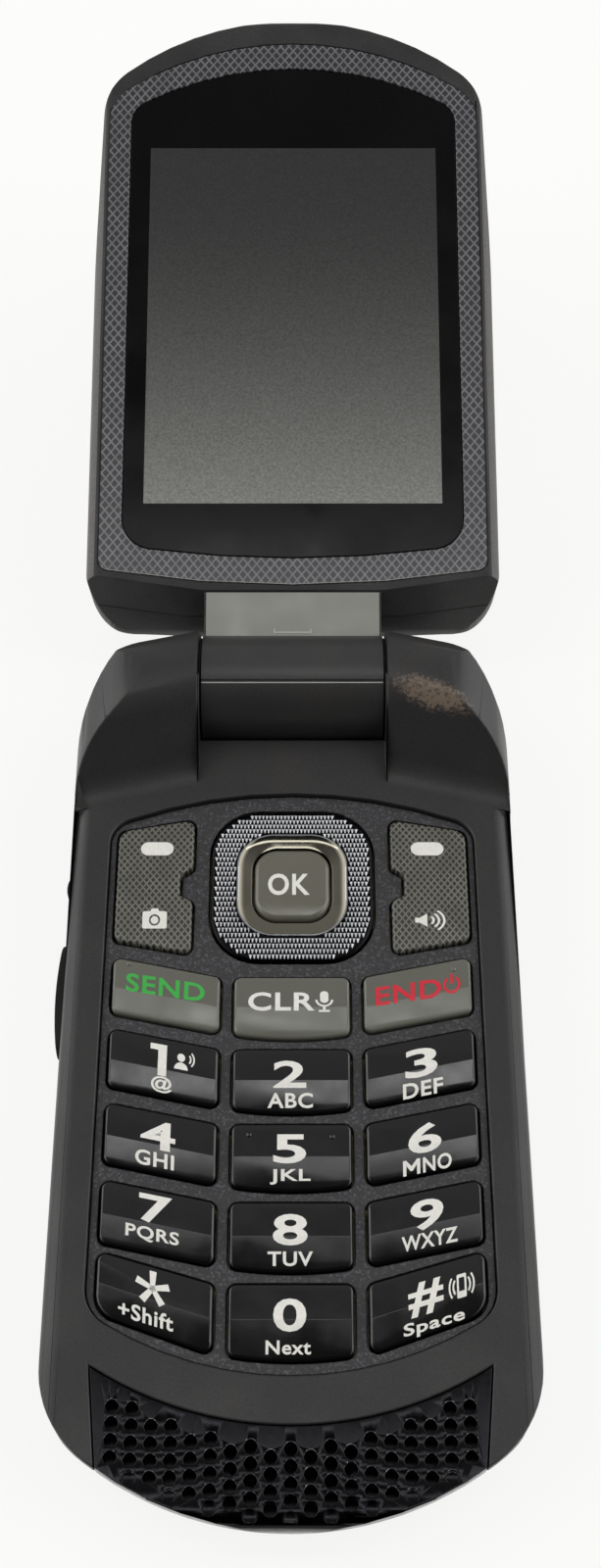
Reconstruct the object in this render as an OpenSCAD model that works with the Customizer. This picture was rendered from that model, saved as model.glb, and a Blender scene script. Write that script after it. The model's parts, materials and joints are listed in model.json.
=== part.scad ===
// Clamshell phone with a keypad base and a hinged display lid, lying open on its back.
// Frame: origin in the middle of the base's back face, +X right, +Y towards the hinge, +Z up.

/* [Base housing] */
// Width of the base near the hinge
base_w = 51; // [50:0.5:56]
// Narrowing of the base from the hinge to the chin
chin_taper = 0.6; // [0.4:0.2:2]
// Distance from the hinge axis to the tip of the chin
chin_reach = 94.6; // [93:0.2:102]
// Thickness of the base at the keypad
base_t = 11.2; // [11:0.1:12]
// Radius of the sweep of the chin
chin_arc_r = 35; // [34:0.5:42]
// Radius of the two chin corners
chin_corner_r = 12; // [8:0.5:14]
// Width of the rounded corners at the hinge end, in plan
rear_corner_w = 15; // [12:0.5:16]
// Length of the rounded corners at the hinge end, in plan
rear_corner_len = 18; // [14:0.5:19]
// Thickness of the side walls
wall = 1.6; // [1.5:0.1:2]
// Thickness of the keypad face
face_wall = 1.6; // [1.4:0.1:1.8]
// Height of the seam between the front and rear housings
seam_z = 3; // [2.8:0.1:3.2]
// Thickness of the rear housing's floor above the battery cover
floor_t = 1.2; // [1:0.1:1.4]
// Rounding of the long edges at the keypad face
side_top_r = 2.2; // [1.5:0.1:3]
// Rounding of the edges at the back
back_edge_r = 4; // [3:0.1:4.5]
// Rounding of the chin at the keypad face
chin_top_r = 1.8; // [1:0.1:3]
// Angle by which the end of the chin draws back towards the table
chin_lean = 9; // [6:0.5:10]

/* [Hinge] */
// Height of the hinge axis above the back
hinge_z = 11.9; // [11.8:0.1:12.6]
// Angle between the keypad face and the display when open
open_angle = 164; // [150:1:170]
// Radius of the housing's ears about the hinge axis
ear_r = 6.9; // [6.7:0.1:7.4]
// Slope of the ears down to the keypad
ear_slope = 44; // [42:1:50]
// Hollow fillet where the ears run out into the keypad face
ear_fillet_r = 5; // [3:0.5:7]
// Angle by which the ears sweep back in plan
ear_turn = 13; // [8:1:16]
// Width of the rounded outer shoulders of the ears
ear_shoulder_w = 11; // [8:0.5:12]
// Height of the rounded outer shoulders of the ears
ear_shoulder_h = 8.5; // [6:0.5:9]
// Length of the lid's barrel between the ears
barrel_w = 21.4; // [20:0.2:24]
// Radius of the lid's barrel
barrel_r = 6.4; // [6:0.1:6.6]
// Running gap round the barrel
barrel_gap = 0.3; // [0.2:0.05:0.4]
// Thickness of the neck between the barrel and the lid
neck_t = 5.4; // [4.8:0.1:5.8]
// Wall of the barrel's front cover
barrel_cover_t = 1.2; // [1:0.1:1.5]
// Angle of the seam on the barrel, from the lid's face
barrel_seam = 97; // [92:1:104]
// Radius of the spring cam cartridge in the left ear
cartridge_r = 3.2; // [2.8:0.1:3.6]
// Radius of the cartridge's shaft
shaft_r = 2; // [1.6:0.1:2.2]
// Radius of the plain hinge pin in the right ear
pin_r = 1.5; // [1.2:0.1:1.8]
// Length of the cartridge and the pin inside the ears
pin_hold = 7; // [5.5:0.1:7.4]
// Length of the shaft and the pin inside the barrel
pin_depth = 6; // [4:0.5:8]
// Radial gap of shafts in their bores
bore_gap = 0.08; // [0.05:0.01:0.12]

/* [Lid] */
// How much narrower the lid is than the base
lid_inset = 0; // [0:0.1:1.6]
// Narrowing of the lid towards the hinge
heel_taper = 0.3; // [0.2:0.1:1]
// Narrowing of the lid towards its top
lid_taper = 1.8; // [0.8:0.1:2.2]
// How much shorter the lid is than the base, from the hinge axis
lid_short = 2.7; // [2:0.1:5]
// Distance from the hinge axis to the lid's hinge end
lid_heel = 9; // [8.6:0.1:9.6]
// Thickness of the lid
lid_t = 9.6; // [9.2:0.1:11]
// Radius of the sweep at the top of the lid
lid_arc_r = 34.4; // [32:0.2:42]
// Radius of the lid's top corners
lid_corner_r = 8; // [6:0.5:10]
// Radius of the lid's corners at the hinge end
heel_corner_r = 5.5; // [4:0.5:8]
// Run of the slanted end wall from the face to the back
heel_slant = 3.4; // [2.6:0.1:3.8]
// Angle by which the end wall sweeps back beside the neck
heel_turn = 8; // [6:0.5:10]
// Run of the swept parts of the end wall
heel_sweep_run = 4.9; // [4:0.1:5.5]
// Depth of the seam between the lid frame and its cover
lid_seam = 4.2; // [4.1:0.1:4.6]
// Thickness of the lid's side walls
lid_wall = 1.5; // [1.2:0.1:1.6]
// Thickness of the lid's face
lid_face = 1.4; // [1.3:0.1:1.6]
// Rounding of the lid's edge at the face
lid_face_r = 1.8; // [1:0.1:2]
// Rounding of the top of the lid at the face
lid_tip_r = 1; // [0.6:0.1:1.6]
// Rounding of the lid's edge at the back
lid_back_r = 4; // [3:0.1:5]

/* [Screen] */
// Rim of the lid beside the patterned bezel
bezel_rim = 1.7; // [1.6:0.1:2.4]
// Rim of the lid above the bezel
bezel_top_rim = 3.5; // [3.2:0.1:4]
// Hinge axis to the foot of the bezel
bezel_foot = 13.3; // [12.9:0.1:14]
// Thickness of the bezel
bezel_t = 0.6; // [0.4:0.1:0.7]
// Width of the bezel beside the glass
bezel_side = 2.85; // [2.5:0.05:3.2]
// Width of the bezel above the glass
bezel_head = 3.7; // [3.2:0.1:4.4]
// Hinge axis to the foot of the glass
glass_foot = 16.8; // [16:0.1:18]
// Thickness of the glass
glass_t = 0.8; // [0.6:0.1:0.9]
// Black border of the glass beside the picture area
view_side = 2.55; // [2:0.05:3]
// Black border of the glass above the picture area
view_head = 11.6; // [10:0.1:13]
// Hinge axis to the lower edge of the picture area
view_foot = 23.9; // [22.5:0.1:25]
// Border of the display module round its picture area
display_border = 1.6; // [1:0.1:2]
// Thickness of the display module
display_t = 1.8; // [1.5:0.1:1.9]

/* [Keypad] */
// Rim of the base beside the inset keypad panel
panel_rim = 4.7; // [4.4:0.1:5.6]
// Hinge axis to the top of the panel
panel_top = 14.1; // [13.9:0.1:14.6]
// Chin tip to the foot of the panel
panel_chin = 14.55; // [14.2:0.05:15]
// Depth of the panel below the keypad face
panel_sink = 0.6; // [0.4:0.1:0.8]
// Thickness of the flange that holds the panel from inside
panel_flange_t = 0.6; // [0.5:0.1:0.7]
// Hinge axis to the upper edge of the first key row
row_top = 37.3; // [37:0.05:37.5]
// Space between the key rows
row_space = 1.31; // [1.2:0.05:1.8]
// Space between the key columns
col_space = 1.575; // [1.4:0.025:2]
// Space between the side keys and the edge of the panel
key_edge = 1.05; // [0.9:0.05:1.4]
// Share of the keys' width that the middle column has
mid_share = 0.348; // [0.33:0.002:0.36]
// How much lower a side key is than a middle one
side_key_less = 0.65; // [0.4:0.05:1]
// Rise of a side key from its inner to its outer edge
key_rise = 2.45; // [2:0.05:2.6]
// Gap round the keys in the panel
key_gap = 0.25; // [0.2:0.05:0.35]
// Height of the keys above the keypad face
key_proud = 0.15; // [0.1:0.05:0.25]
// Slope of the half of a key nearer the chin
key_slope = 8; // [6:0.5:9]
// Slope of the half of a key nearer the hinge
key_back_slope = 2; // [1:0.5:4]
// Radius of the crown across the confirm key
ok_crown_r = 40; // [30:2:80]
// Radius of the crown across the soft keys and the navigation ring
nav_crown_r = 80; // [60:5:160]
// Rounding of the key corners in plan
key_corner_r = 0.8; // [0.5:0.1:1.2]
// Border of the flange under a key
key_flange = 0.4; // [0.3:0.05:0.45]
// Thickness of the flange under a key
key_flange_t = 0.6; // [0.4:0.1:0.6]
// Press travel of a key
key_travel = 0.4; // [0.3:0.05:0.4]
// Hinge axis to the middle of the navigation ring
nav_y = 25.75; // [25.6:0.05:25.9]
// Width of the navigation ring
nav_w = 18.3; // [17.8:0.1:18.6]
// Height of the navigation ring
nav_h = 18.9; // [18.4:0.1:19.2]
// Corner radius of the navigation ring
nav_corner_r = 5.5; // [4.5:0.1:6.5]
// Width of the confirm key inside the ring
ok_w = 8.5; // [8:0.1:9]
// Height of the confirm key
ok_h = 8.9; // [8.4:0.1:9.2]
// Corner radius of the confirm key
ok_corner_r = 2.6; // [2:0.1:3]
// Space between the navigation ring and the soft keys
soft_space = 2.1; // [1.9:0.05:2.4]

/* [Grille] */
// Chin tip to the upper edge of the grille
grille_top = 9.65; // [9:0.05:10]
// Radius of the upper edge of the grille
grille_arc_r = 38; // [34:0.5:44]
// Side of the base to the grille's upper corners
grille_rim = 5.9; // [5.6:0.1:7]
// Height of the shelf that carries the grille
grille_z = 8; // [7.8:0.1:8.2]
// Radius of a sound hole
hole_r = 0.65; // [0.5:0.01:0.68]
// Spacing of the columns of holes
hole_pitch_x = 1.95; // [1.9:0.01:2]
// Spacing of the holes in a column
hole_pitch_y = 1.6; // [1.55:0.01:1.65]
// Chin tip to the first hole of the middle column
hole_top = 7.5; // [7.4:0.05:7.7]

/* [Side keys and ports] */
// Hinge axis to the middle of the volume key
volume_y = 38.3; // [37:0.1:42]
// Length of the volume key
volume_len = 13.4; // [11:0.1:15]
// Height of the volume key across the side wall
volume_h = 3; // [2.5:0.1:3.4]
// How far the volume key stands out
volume_proud = 0.9; // [0.6:0.1:1.2]
// Height of the ports above the back
port_z = 5.3; // [5.2:0.1:5.4]
// Hinge axis to the middle of both ports
port_y = 14.2; // [14.1:0.1:14.6]
// Bore radius of the headset jack
jack_r = 1.8; // [1.75:0.01:1.85]
// Depth of the headset jack's bore
jack_depth = 11.6; // [10:0.1:12]
// Hinge axis to the hinged end of the port covers
cover_top = 9.9; // [9.8:0.1:10.2]
// Length of the headset jack's cover
jack_cover_len = 17; // [14:0.1:18]
// Length of the charging socket's cover
charger_cover_len = 12; // [11:0.1:16]
// Height of the port covers
port_cover_h = 4.2; // [4:0.1:4.4]
// Thickness of the port covers
port_cover_t = 1; // [0.8:0.05:1.1]

/* [Battery] */
// Side of the base to the battery
battery_rim = 6.5; // [6.5:0.5:9]
// Chin tip to the foot of the battery
battery_chin = 18.6; // [18:0.2:24]
// Thickness of the battery
battery_t = 4.5; // [4.2:0.1:4.6]
// Hinge axis to the top of the battery bay
bay_top = 28; // [27.5:0.1:29]
// Side of the base to the battery cover
cover_rim = 4; // [3.9:0.1:4.2]
// Chin tip to the foot of the battery cover
cover_chin = 14.6; // [14:0.1:15]
// Hinge axis to the top of the battery cover
cover_start = 16.5; // [16:0.1:17]
// Thickness of the battery cover
cover_t = 1.1; // [1:0.05:1.2]
// Radius of the cover's coin lock
lock_r = 4.2; // [3.6:0.1:4.4]

/* [Hidden] */

$fn = 48;

// Hinge axis in the part's frame: the base's length is centred on the origin
hinge_y = (chin_reach - ear_r) / 2;

// Battery contacts: width, reach and height of one, and their spacing
contact = [2, 2, 1.6];
contact_pitch = 5;

// Widths and lengths that follow the base
chin_w = base_w - chin_taper;
lid_w = base_w - lid_inset;
heel_w = lid_w - heel_taper;
lid_top_w = lid_w - lid_taper;
lid_len = chin_reach - lid_short;
bezel_w = lid_w - 2 * bezel_rim;
bezel_top = lid_len - bezel_top_rim;
glass_w = bezel_w - 2 * bezel_side;
glass_top = bezel_top - bezel_head;
view_w = glass_w - 2 * view_side;
view_h = glass_top - view_head - view_foot;
grille_half_w = chin_w / 2 - grille_rim;
battery_w = base_w - 2 * battery_rim;
battery_len = chin_reach - battery_chin - bay_top - contact[1];
cover_w = base_w - 2 * cover_rim;
cover_len = chin_reach - cover_chin - cover_start;

// Key block: the rows fill the panel down to its foot, and the columns share its width
panel_w = base_w - 2 * panel_rim;
panel_foot = chin_reach - panel_chin;
rows = 5;
foot_space = 0.45;
row_pitch = (panel_foot - row_top - foot_space) / rows;
key_h = row_pitch - row_space;
mid_key_w = mid_share * (panel_w - 2 * key_edge - 2 * col_space);
side_key_in = mid_key_w / 2 + col_space;
side_key_out = panel_w / 2 - key_edge;
side_key_h = key_h - side_key_less;
soft_in = nav_w / 2 + soft_space;
soft_out = panel_w / 2 - 0.9;

// Clearances between fixed pieces, between moving pieces, and the overlap that makes a cut clean
fit_gap = 0.1;
move_gap = 0.25;
cut = 1;

// Angle of one facet of an outline's arc
arc_step = 6;

// A plan and its profiles meet in a small flat, so that they never only touch
end_flat = 0.15;

// Radius of the almost straight ends of the base and the lid
flat_arc_r = 200;

// Bow and corner radii, at the foot and at the top: bezel, glass, keypad panel and battery cover
bezel_bow = [137, 38];
bezel_corner = [1.5, 5.5];
glass_bow = [132, 40];
glass_corner = [4, 3.4];
panel_bow = [37, 53];
panel_corner = [4, 3];
cover_bow = [60, flat_arc_r];
cover_corner = [7, 6];

// Levels of the base, from the keypad face down to the back
face_under = base_t - face_wall;
panel_z = base_t - panel_sink;
panel_under = face_under - panel_flange_t;
key_top = base_t + key_proud;
key_under = panel_under - key_flange_t;
recess_z = cover_t + fit_gap;
floor_z = recess_z + floor_t;
battery_z = cover_t + 2 * fit_gap;
bay_z = battery_z + battery_t;
bay_wall = 1;
board_z = bay_z + bay_wall / 2;
board_t = 0.8;
dome_z = board_z + board_t;
dome_t = 0.2;
dome_r = 2;
board_half_w = base_w / 2 - 3.8;
board_foot = 12.6;
chin_ceiling = grille_z - 0.6;

// Hinge end of the base's inner bay, from the hinge axis
bay_end = ear_r + 2 * wall;

// Inner wall of the ears
ear_in = barrel_w / 2 + barrel_gap;

// Screw bosses, as distances from the centre line and the hinge axis
boss_r = 2.2;
screw_r = 0.75;
screw_head_r = 1.6;
screw_head_h = 1.2;
screw_len = 4.4;
upper_screw = [base_w / 2 - 18, -11];
lower_screw = [base_w / 2 - 9, 10.1 - chin_reach];

// Side keys of the last row follow the chin more closely
last_row_rise = [3.4, 4.15];
last_row_extra = 0.4;
last_corner_r = 2.6;

// Soft keys: edges at the hinge and chin ends, and the notch in the inner edge
soft_top = [17.3, 18.9];
soft_foot = [34.3, 32.7];
soft_notch = [23.8, 28];
soft_notch_d = 1.45;

// Key rocker clearances
rock_drop = 0.3;
nav_under = key_under - rock_drop;

// Tops of the spring contacts, under the pressed keys and under the rocking ones
dome_top = key_under - key_travel - fit_gap;
rock_dome_top = nav_under - rock_drop - fit_gap;
actuator_r = 4;
actuator_z = [dome_z + dome_t + 0.15, dome_z + dome_t + 0.35];

// Ports: corners of their covers and the charging socket's mouth; volume key: height, crown and inner flange
port_corner_r = 1.4;
socket_mouth = [7.2, 2.4];
socket_corner_r = 1.1;
volume_z = port_z + 1.2;
volume_crown_r = 45;
volume_flange_t = 0.8;

// Battery bay: room beyond the battery's ends, the seal round it and the lock's stem
bay_margin = 1;
seal_w = 1;
seal_t = 0.8;
lock_at = [0, -bay_top + 5.4];
lock_stem_r = 2.5;
lock_stem_len = 1.5;

// Inner pieces: shield can, microphone, motor, jack body, socket depth, antenna and camera
shield = [14, 11];
shield_h = 1.9;
mic = [3, 2.2, 1.1];
mic_at = [base_w / 4, board_foot + 3 - chin_reach];
motor_r = 4;
motor_h = 2.7;
motor_at = [base_w / 2 - 13.5, -port_y - 7.6];
jack_body = [jack_depth + 1.4, 6, 5.2];
socket_depth = 5.2;
antenna_w = 28;
antenna_t = 0.4;
camera_body = 8.4;

// Chamber behind the grille
speaker_half_w = 7.4;
speaker_y = [chin_reach - 3.6, chin_reach - 12];
speaker_h = 3;
speaker_corner_r = 3;
dimple_d = 0.5;

// Lid: back of the display and of its board
display_back = lid_face + display_t;
lid_board_t = 0.8;
lid_mid = 0.55 * lid_len;
view_mid = view_foot + view_h / 2;
neck_face = 0.2;
slot_half_w = 4.2;
flex_t = 0.3;
flex_depth = 2.6;
flex_slot_t = 1;

// Screws under the bezel: shank, head and the length held in the lid's cover
lid_screw_r = 0.7;
lid_screw_head_r = 1.2;
lid_screw_head_h = 0.5;
lid_screw_bite = 2;

// Outer side of the lid
outer_view_y = 0.57 * lid_len;
outer_view_w = 27;
outer_border = 2.5;
outer_window_w = outer_view_w + 2 * outer_border;
outer_window_t = 1;
outer_corner_r = 4;
camera_y = lid_len - 14.2;
camera_r = 4;
camera_window_t = 0.8;
flash_x = 9.5;
flash_r = 1.6;

// Colours
housing_colour = "#2b2b2d";
lid_colour = "#343436";
key_colour = "#161618";
call_key_colour = "#5f5f62";
metal_colour = "#b9bbbe";
board_colour = "#1f5a3c";
rubber_colour = "#1b1b1c";
glass_colour = "#0a0a0c";
brass_colour = "#c9a45a";

// Points along an arc, from the angle a0 to a1, leaving out the first ones where asked
function arc(c, r, a0, a1, skip = 0) =
  let (n = max(1, ceil(abs(a1 - a0) / arc_step)))
  [for (i = [skip : n]) c + r * [cos(a0 + (a1 - a0) * i / n), sin(a0 + (a1 - a0) * i / n)]];

// Closes the right half of an outline with its mirror image
function outline(half) =
  concat(half, [for (k = [len(half) - 1 : -1 : 0]) if (half[k][0] > 0.001) [-half[k][0], half[k][1]]]);

// Right half of a bowed foot and of a bowed top: half width, end, bow and corner radius
function bowed_foot(w, foot, bow, r) =
  let (
    c = foot + bow,
    y = c - sqrt(pow(bow - r, 2) - pow(w - r, 2)),
    a = atan2(y - c, w - r)
  )
  concat(arc([0, c], bow, -90, a), arc([w - r, y], r, a, 0, 1));
function bowed_top(w, top, bow, r) =
  let (
    c = top - bow,
    y = c + sqrt(pow(bow - r, 2) - pow(w - r, 2)),
    a = atan2(y - c, w - r)
  )
  concat(arc([w - r, y], r, 0, a), arc([0, c], bow, a, 90, 1));

// Right half of a plate with bowed ends: half width, end, bow and corner radius at the foot, then at the top
function plate(foot_w, foot, foot_bow, foot_r, top_w, top, top_bow, top_r, sides = []) =
  concat(bowed_foot(foot_w, foot, foot_bow, foot_r), sides, bowed_top(top_w, top, top_bow, top_r));

// Quarter of an ellipse inside a corner, of the given width and height
function oval_corner(corner, w, h) =
  [for (a = [0 : arc_step : 90]) corner - [w, h] + [w * cos(a), h * sin(a)]];

// Plan of the base, drawn in by i all round
function base_plan(i = 0) = outline(concat(
  bowed_foot(chin_w / 2 - i, -chin_reach + i, chin_arc_r - i, chin_corner_r - i),
  oval_corner([base_w / 2 - i, ear_r - i], rear_corner_w - i, rear_corner_len - i)));

// Plan of the lid, drawn in by i all round
function lid_plan(i = 0) = outline(plate(
  heel_w / 2 - i, lid_heel + i, flat_arc_r, heel_corner_r - i,
  lid_top_w / 2 - i, lid_len - i, lid_arc_r - i, lid_corner_r - i, [[lid_w / 2 - i, lid_mid]]));

// Plans of the bezel, the glass, the keypad panel and the battery cover, drawn in by i all round
function bezel_plan(i = 0) = outline(plate(
  bezel_w / 2 - i, bezel_foot + i, bezel_bow[0], bezel_corner[0],
  bezel_w / 2 - i, bezel_top - i, bezel_bow[1] - i, bezel_corner[1] - i));
function glass_plan(i = 0) = outline(plate(
  glass_w / 2 - i, glass_foot + i, glass_bow[0], glass_corner[0] - i,
  glass_w / 2 - i, glass_top - i, glass_bow[1] - i, glass_corner[1] - i));
function panel_plan(i = 0) = outline(plate(
  panel_w / 2 - i, -panel_foot + i, panel_bow[0] - i, panel_corner[0] - i,
  panel_w / 2 - i, -panel_top - i, panel_bow[1] - i, panel_corner[1] - i));
function cover_plan(i = 0) = outline(plate(
  cover_w / 2 - i, -cover_start - cover_len + i, cover_bow[0], cover_corner[0] - i,
  cover_w / 2 - i, -cover_start - i, cover_bow[1], cover_corner[1] - i));

// Right half of a cross-section with rounded edges at its back and its face
function section(half_w, h, back_r, face_r) = concat(
  arc([half_w - back_r, back_r], back_r, -90, 0),
  arc([half_w - face_r, h - face_r], face_r, 0, 90));

// Side view of the base without its ears
function base_side() = let (tip = end_flat - chin_reach, rear = ear_r - end_flat) concat(
  arc([tip + back_edge_r, back_edge_r], back_edge_r, 180, 270),
  arc([rear - back_edge_r, back_edge_r], back_edge_r, 270, 360),
  [[rear, base_t]],
  arc([tip + chin_top_r, base_t - chin_top_r], chin_top_r, 90, 180));

// Side view of an ear: round about the hinge axis, a slope, and a hollow fillet onto the keypad face
function ear_side() =
  let (
    t = [-ear_r * sin(ear_slope), hinge_z + ear_r * cos(ear_slope)],
    foot = t[0] - (t[1] - base_t) / tan(ear_slope),
    run = ear_fillet_r * tan(ear_slope / 2)
  )
  concat(
    [[ear_r, seam_z]],
    arc([0, hinge_z], ear_r, 0, 90 + ear_slope),
    arc([foot - run, base_t + ear_fillet_r], ear_fillet_r, 270 + ear_slope, 270),
    [[foot - run, seam_z]]);

// Side view of the lid: rounded edges at the top and at the back of the hinge end
function lid_side() = let (tip = lid_len + end_flat, heel = lid_heel + end_flat) concat(
  [[heel + heel_slant, 0]],
  arc([heel + lid_face_r, lid_face_r - lid_t], lid_face_r, 180, 270),
  arc([tip - lid_back_r, lid_back_r - lid_t], lid_back_r, 270, 360),
  arc([tip - lid_tip_r, -lid_tip_r], lid_tip_r, 0, 90));

// Places: y from the hinge axis in the base, and x, y and depth below the face in the lid
module at_axis() translate([0, hinge_y, 0]) children();
module at_lid() translate([0, hinge_y, hinge_z]) rotate([180 - open_angle, 0, 0]) children();
module both_sides() {
  children();
  mirror([1, 0, 0]) children();
}

// Solids drawn from a plan, from a side view across the part, and from a section along it
module slab(z0, z1) translate([0, 0, z0]) linear_extrude(z1 - z0) children();
module across(w) rotate([90, 0, 90]) linear_extrude(w, center = true) children();
module along(y0, y1) translate([0, y1, 0]) rotate([90, 0, 0]) linear_extrude(y1 - y0) children();
module rod(r, x0, x1) translate([x0, 0, 0]) rotate([0, 90, 0]) cylinder(r = r, h = x1 - x0);
module round_rect(w, h, r) offset(r = r, $fn = 32) square([w - 2 * r, h - 2 * r], center = true);

// Leaning end of the chin, and all of the base that it bounds, drawn in by i
module chin_barrel(i = 0) translate([0, chin_arc_r / cos(chin_lean) - chin_reach, base_t - chin_top_r])
  rotate([chin_lean, 0, 0]) cylinder(r = chin_arc_r - i, h = 4 * base_t, center = true, $fn = 360);
module chin_sweep(i = 0) {
  chin_barrel(i);
  translate([-base_w, chin_arc_r / 2 - chin_reach, -cut]) cube([2 * base_w, 2 * chin_reach, 3 * base_t]);
}

// The base between two heights, without its ears
module base_block(z0, z1) intersection() {
  slab(z0, z1) polygon(base_plan());
  chin_sweep();
  across(base_w + 2 * cut) polygon(base_side());
  along(-chin_reach - cut, ear_r + cut)
    polygon(outline(section(base_w / 2 - end_flat, base_t, back_edge_r, side_top_r)));
}

// Right ear of the hinge, swept back in plan
module ear() intersection() {
  slab(seam_z, hinge_z + ear_r + cut) polygon(base_plan());
  translate([ear_in, 0, 0]) rotate(-ear_turn) translate([base_w / 4, 0, 0]) across(base_w) polygon(ear_side());
  along(-chin_reach / 2, ear_r + cut) ear_section();
}

// Front view of the right ear with its rounded shoulder
module ear_section() {
  side = base_w / 2 - end_flat;
  top = hinge_z + ear_r + 2 * end_flat;
  polygon(concat(
    [[ear_in, 0], [side, 0]],
    oval_corner([side, top], ear_shoulder_w, ear_shoulder_h),
    [[ear_in, top]]));
}

// Space swept by the lid's barrel and by its neck at the open stop
module barrel_room() translate([0, 0, hinge_z]) {
  side = ear_in + fit_gap;
  neck_side = ear_in + fit_gap / 2;
  rod(barrel_r + barrel_gap, -side, side);
  rotate([180 - open_angle, 0, 0])
    translate([-neck_side, 0, -neck_t - barrel_gap])
    cube([2 * neck_side, 3 * lid_heel, 2 * base_t]);
}

// Pockets inside the front housing: the keypad bay and the lower bay behind the grille
module front_cavities() {
  slab(seam_z - cut, face_under) intersection() {
    polygon(base_plan(wall));
    translate([-base_w / 2, -chin_reach]) square([base_w, chin_reach - bay_end]);
    union() {
      translate([0, grille_top + grille_arc_r - chin_reach]) circle(r = grille_arc_r - wall);
      translate([-base_w / 2, grille_arc_r - chin_reach]) square([base_w, chin_reach]);
    }
  }
  intersection() {
    slab(seam_z - cut, chin_ceiling) intersection() {
      polygon(base_plan(wall));
      translate([-base_w / 2, -chin_reach]) square([base_w, chin_reach - bay_end]);
    }
    chin_sweep(wall);
  }
}

// Plan of the grille: an arc above, the sweep of the chin below
module grille_plan(gap = 0) intersection() {
  difference() {
    polygon([
      [-grille_half_w - gap - 1, cut - chin_reach + chin_arc_r / 2],
      [-grille_half_w - gap + 1, -chin_reach - cut],
      [grille_half_w + gap - 1, -chin_reach - cut],
      [grille_half_w + gap + 1, cut - chin_reach + chin_arc_r / 2]]);
    translate([0, grille_top + grille_arc_r - chin_reach]) circle(r = grille_arc_r - gap);
  }
  offset(delta = gap > 0 ? cut : 0) polygon(base_plan());
}

// Side cut for a port: its cover's seat and the hole behind it, on the left side
module port_cut(len) {
  seat_x = base_w / 2 - port_cover_t - fit_gap;
  translate([-seat_x - base_w / 4, 0, 0]) across(base_w / 2) cover_outline(len, fit_gap);
}

// Side view of a port cover
module cover_outline(len, gap = 0)
  translate([-cover_top - len / 2, port_z])
  round_rect(len + 2 * gap, port_cover_h + 2 * gap, port_corner_r + gap);

// Charging socket's mouth, drawn as a side view
module socket_outline(gap = 0)
  translate([-port_y, port_z])
  round_rect(socket_mouth[0] + 2 * gap, socket_mouth[1] + 2 * gap, socket_corner_r);

// Volume key, drawn as a side view
module volume_outline(gap = 0)
  translate([-volume_y, volume_z])
  round_rect(volume_len + 2 * gap, volume_h + 2 * gap, volume_h / 2 - fit_gap);

module front_housing() color(housing_colour) at_axis() difference() {
  union() {
    difference() {
      union() {
        base_block(seam_z, base_t);
        both_sides() ear();
      }
      front_cavities();
    }
    both_sides() slab(seam_z, face_under) translate(upper_screw) circle(r = boss_r);
    both_sides() slab(seam_z, chin_ceiling) translate(lower_screw) circle(r = boss_r);
  }
  barrel_room();
  slab(face_under - cut, base_t + cut) polygon(panel_plan(-fit_gap));
  slab(grille_z, base_t + cut) grille_plan(fit_gap);
  slab(chin_ceiling - cut, grille_z + cut) speaker_plan(-1);
  translate([0, 0, hinge_z]) {
    rod(cartridge_r + bore_gap, -ear_in - pin_hold - fit_gap, cut - ear_in);
    rod(pin_r + bore_gap, ear_in - cut, ear_in + pin_hold + fit_gap);
  }
  port_cut(jack_cover_len);
  translate([0, -port_y, port_z]) rod(jack_r + move_gap, -base_w / 2 - cut, -base_w / 2 + 2 * wall);
  mirror([1, 0, 0]) port_cut(charger_cover_len);
  translate([base_w / 2, 0, 0]) across(4 * wall) socket_outline(move_gap);
  translate([-base_w / 2, 0, 0]) across(4 * wall) volume_outline(move_gap);
  both_sides() for (p = [upper_screw, lower_screw])
    translate([p[0], p[1], seam_z - cut]) cylinder(r = screw_r, h = screw_len + cut);
}

// Plan of the loudspeaker, grown by gap
module speaker_plan(gap = 0)
  translate([0, -(speaker_y[0] + speaker_y[1]) / 2])
  round_rect(2 * (speaker_half_w + gap), speaker_y[0] - speaker_y[1] + 2 * gap, speaker_corner_r);

// Plan of the battery bay, grown by gap
module bay_plan(gap = 0)
  translate([0, -bay_top - battery_len / 2 - bay_margin])
  round_rect(battery_w + 2 * (fit_gap + gap), battery_len + 2 * (bay_margin + gap), 1.5 + max(gap, 0));

module rear_housing() color(housing_colour) at_axis() difference() {
  union() {
    difference() {
      base_block(0, seam_z);
      intersection() {
        slab(floor_z, seam_z + cut) polygon(base_plan(wall));
        chin_sweep(wall);
      }
    }
    slab(floor_z - fit_gap, board_z) bay_plan(bay_wall);
    slab(recess_z, seam_z + fit_gap) translate(lock_at) circle(r = lock_r);
    both_sides() for (p = [upper_screw, lower_screw])
      translate([p[0], p[1], floor_z - fit_gap]) cylinder(r = boss_r, h = seam_z - floor_z + fit_gap);
  }
  slab(-cut, recess_z) polygon(cover_plan(-fit_gap));
  slab(-cut, bay_z) bay_plan();
  slab(recess_z - cut, recess_z + seal_t) difference() {
    bay_plan(2 * seal_w + fit_gap);
    bay_plan(seal_w - fit_gap);
  }
  slab(recess_z - cut, cover_t + lock_stem_len + 2 * fit_gap)
    translate(lock_at) circle(r = lock_stem_r + move_gap);
  both_sides() for (p = [upper_screw, lower_screw]) translate([p[0], p[1], -cut]) {
    cylinder(r = screw_r + fit_gap, h = seam_z + 2 * cut);
    cylinder(r = screw_head_r + fit_gap, h = cut + 0.5 + screw_head_h);
  }
}

// Middle of a key along the base, by its column (-1, 0 or 1) and its row from 0 to 4
function key_middle(col, row) = -row_top - row * row_pitch - key_h / 2 + abs(col) * row_rise(row) / 2;

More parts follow.
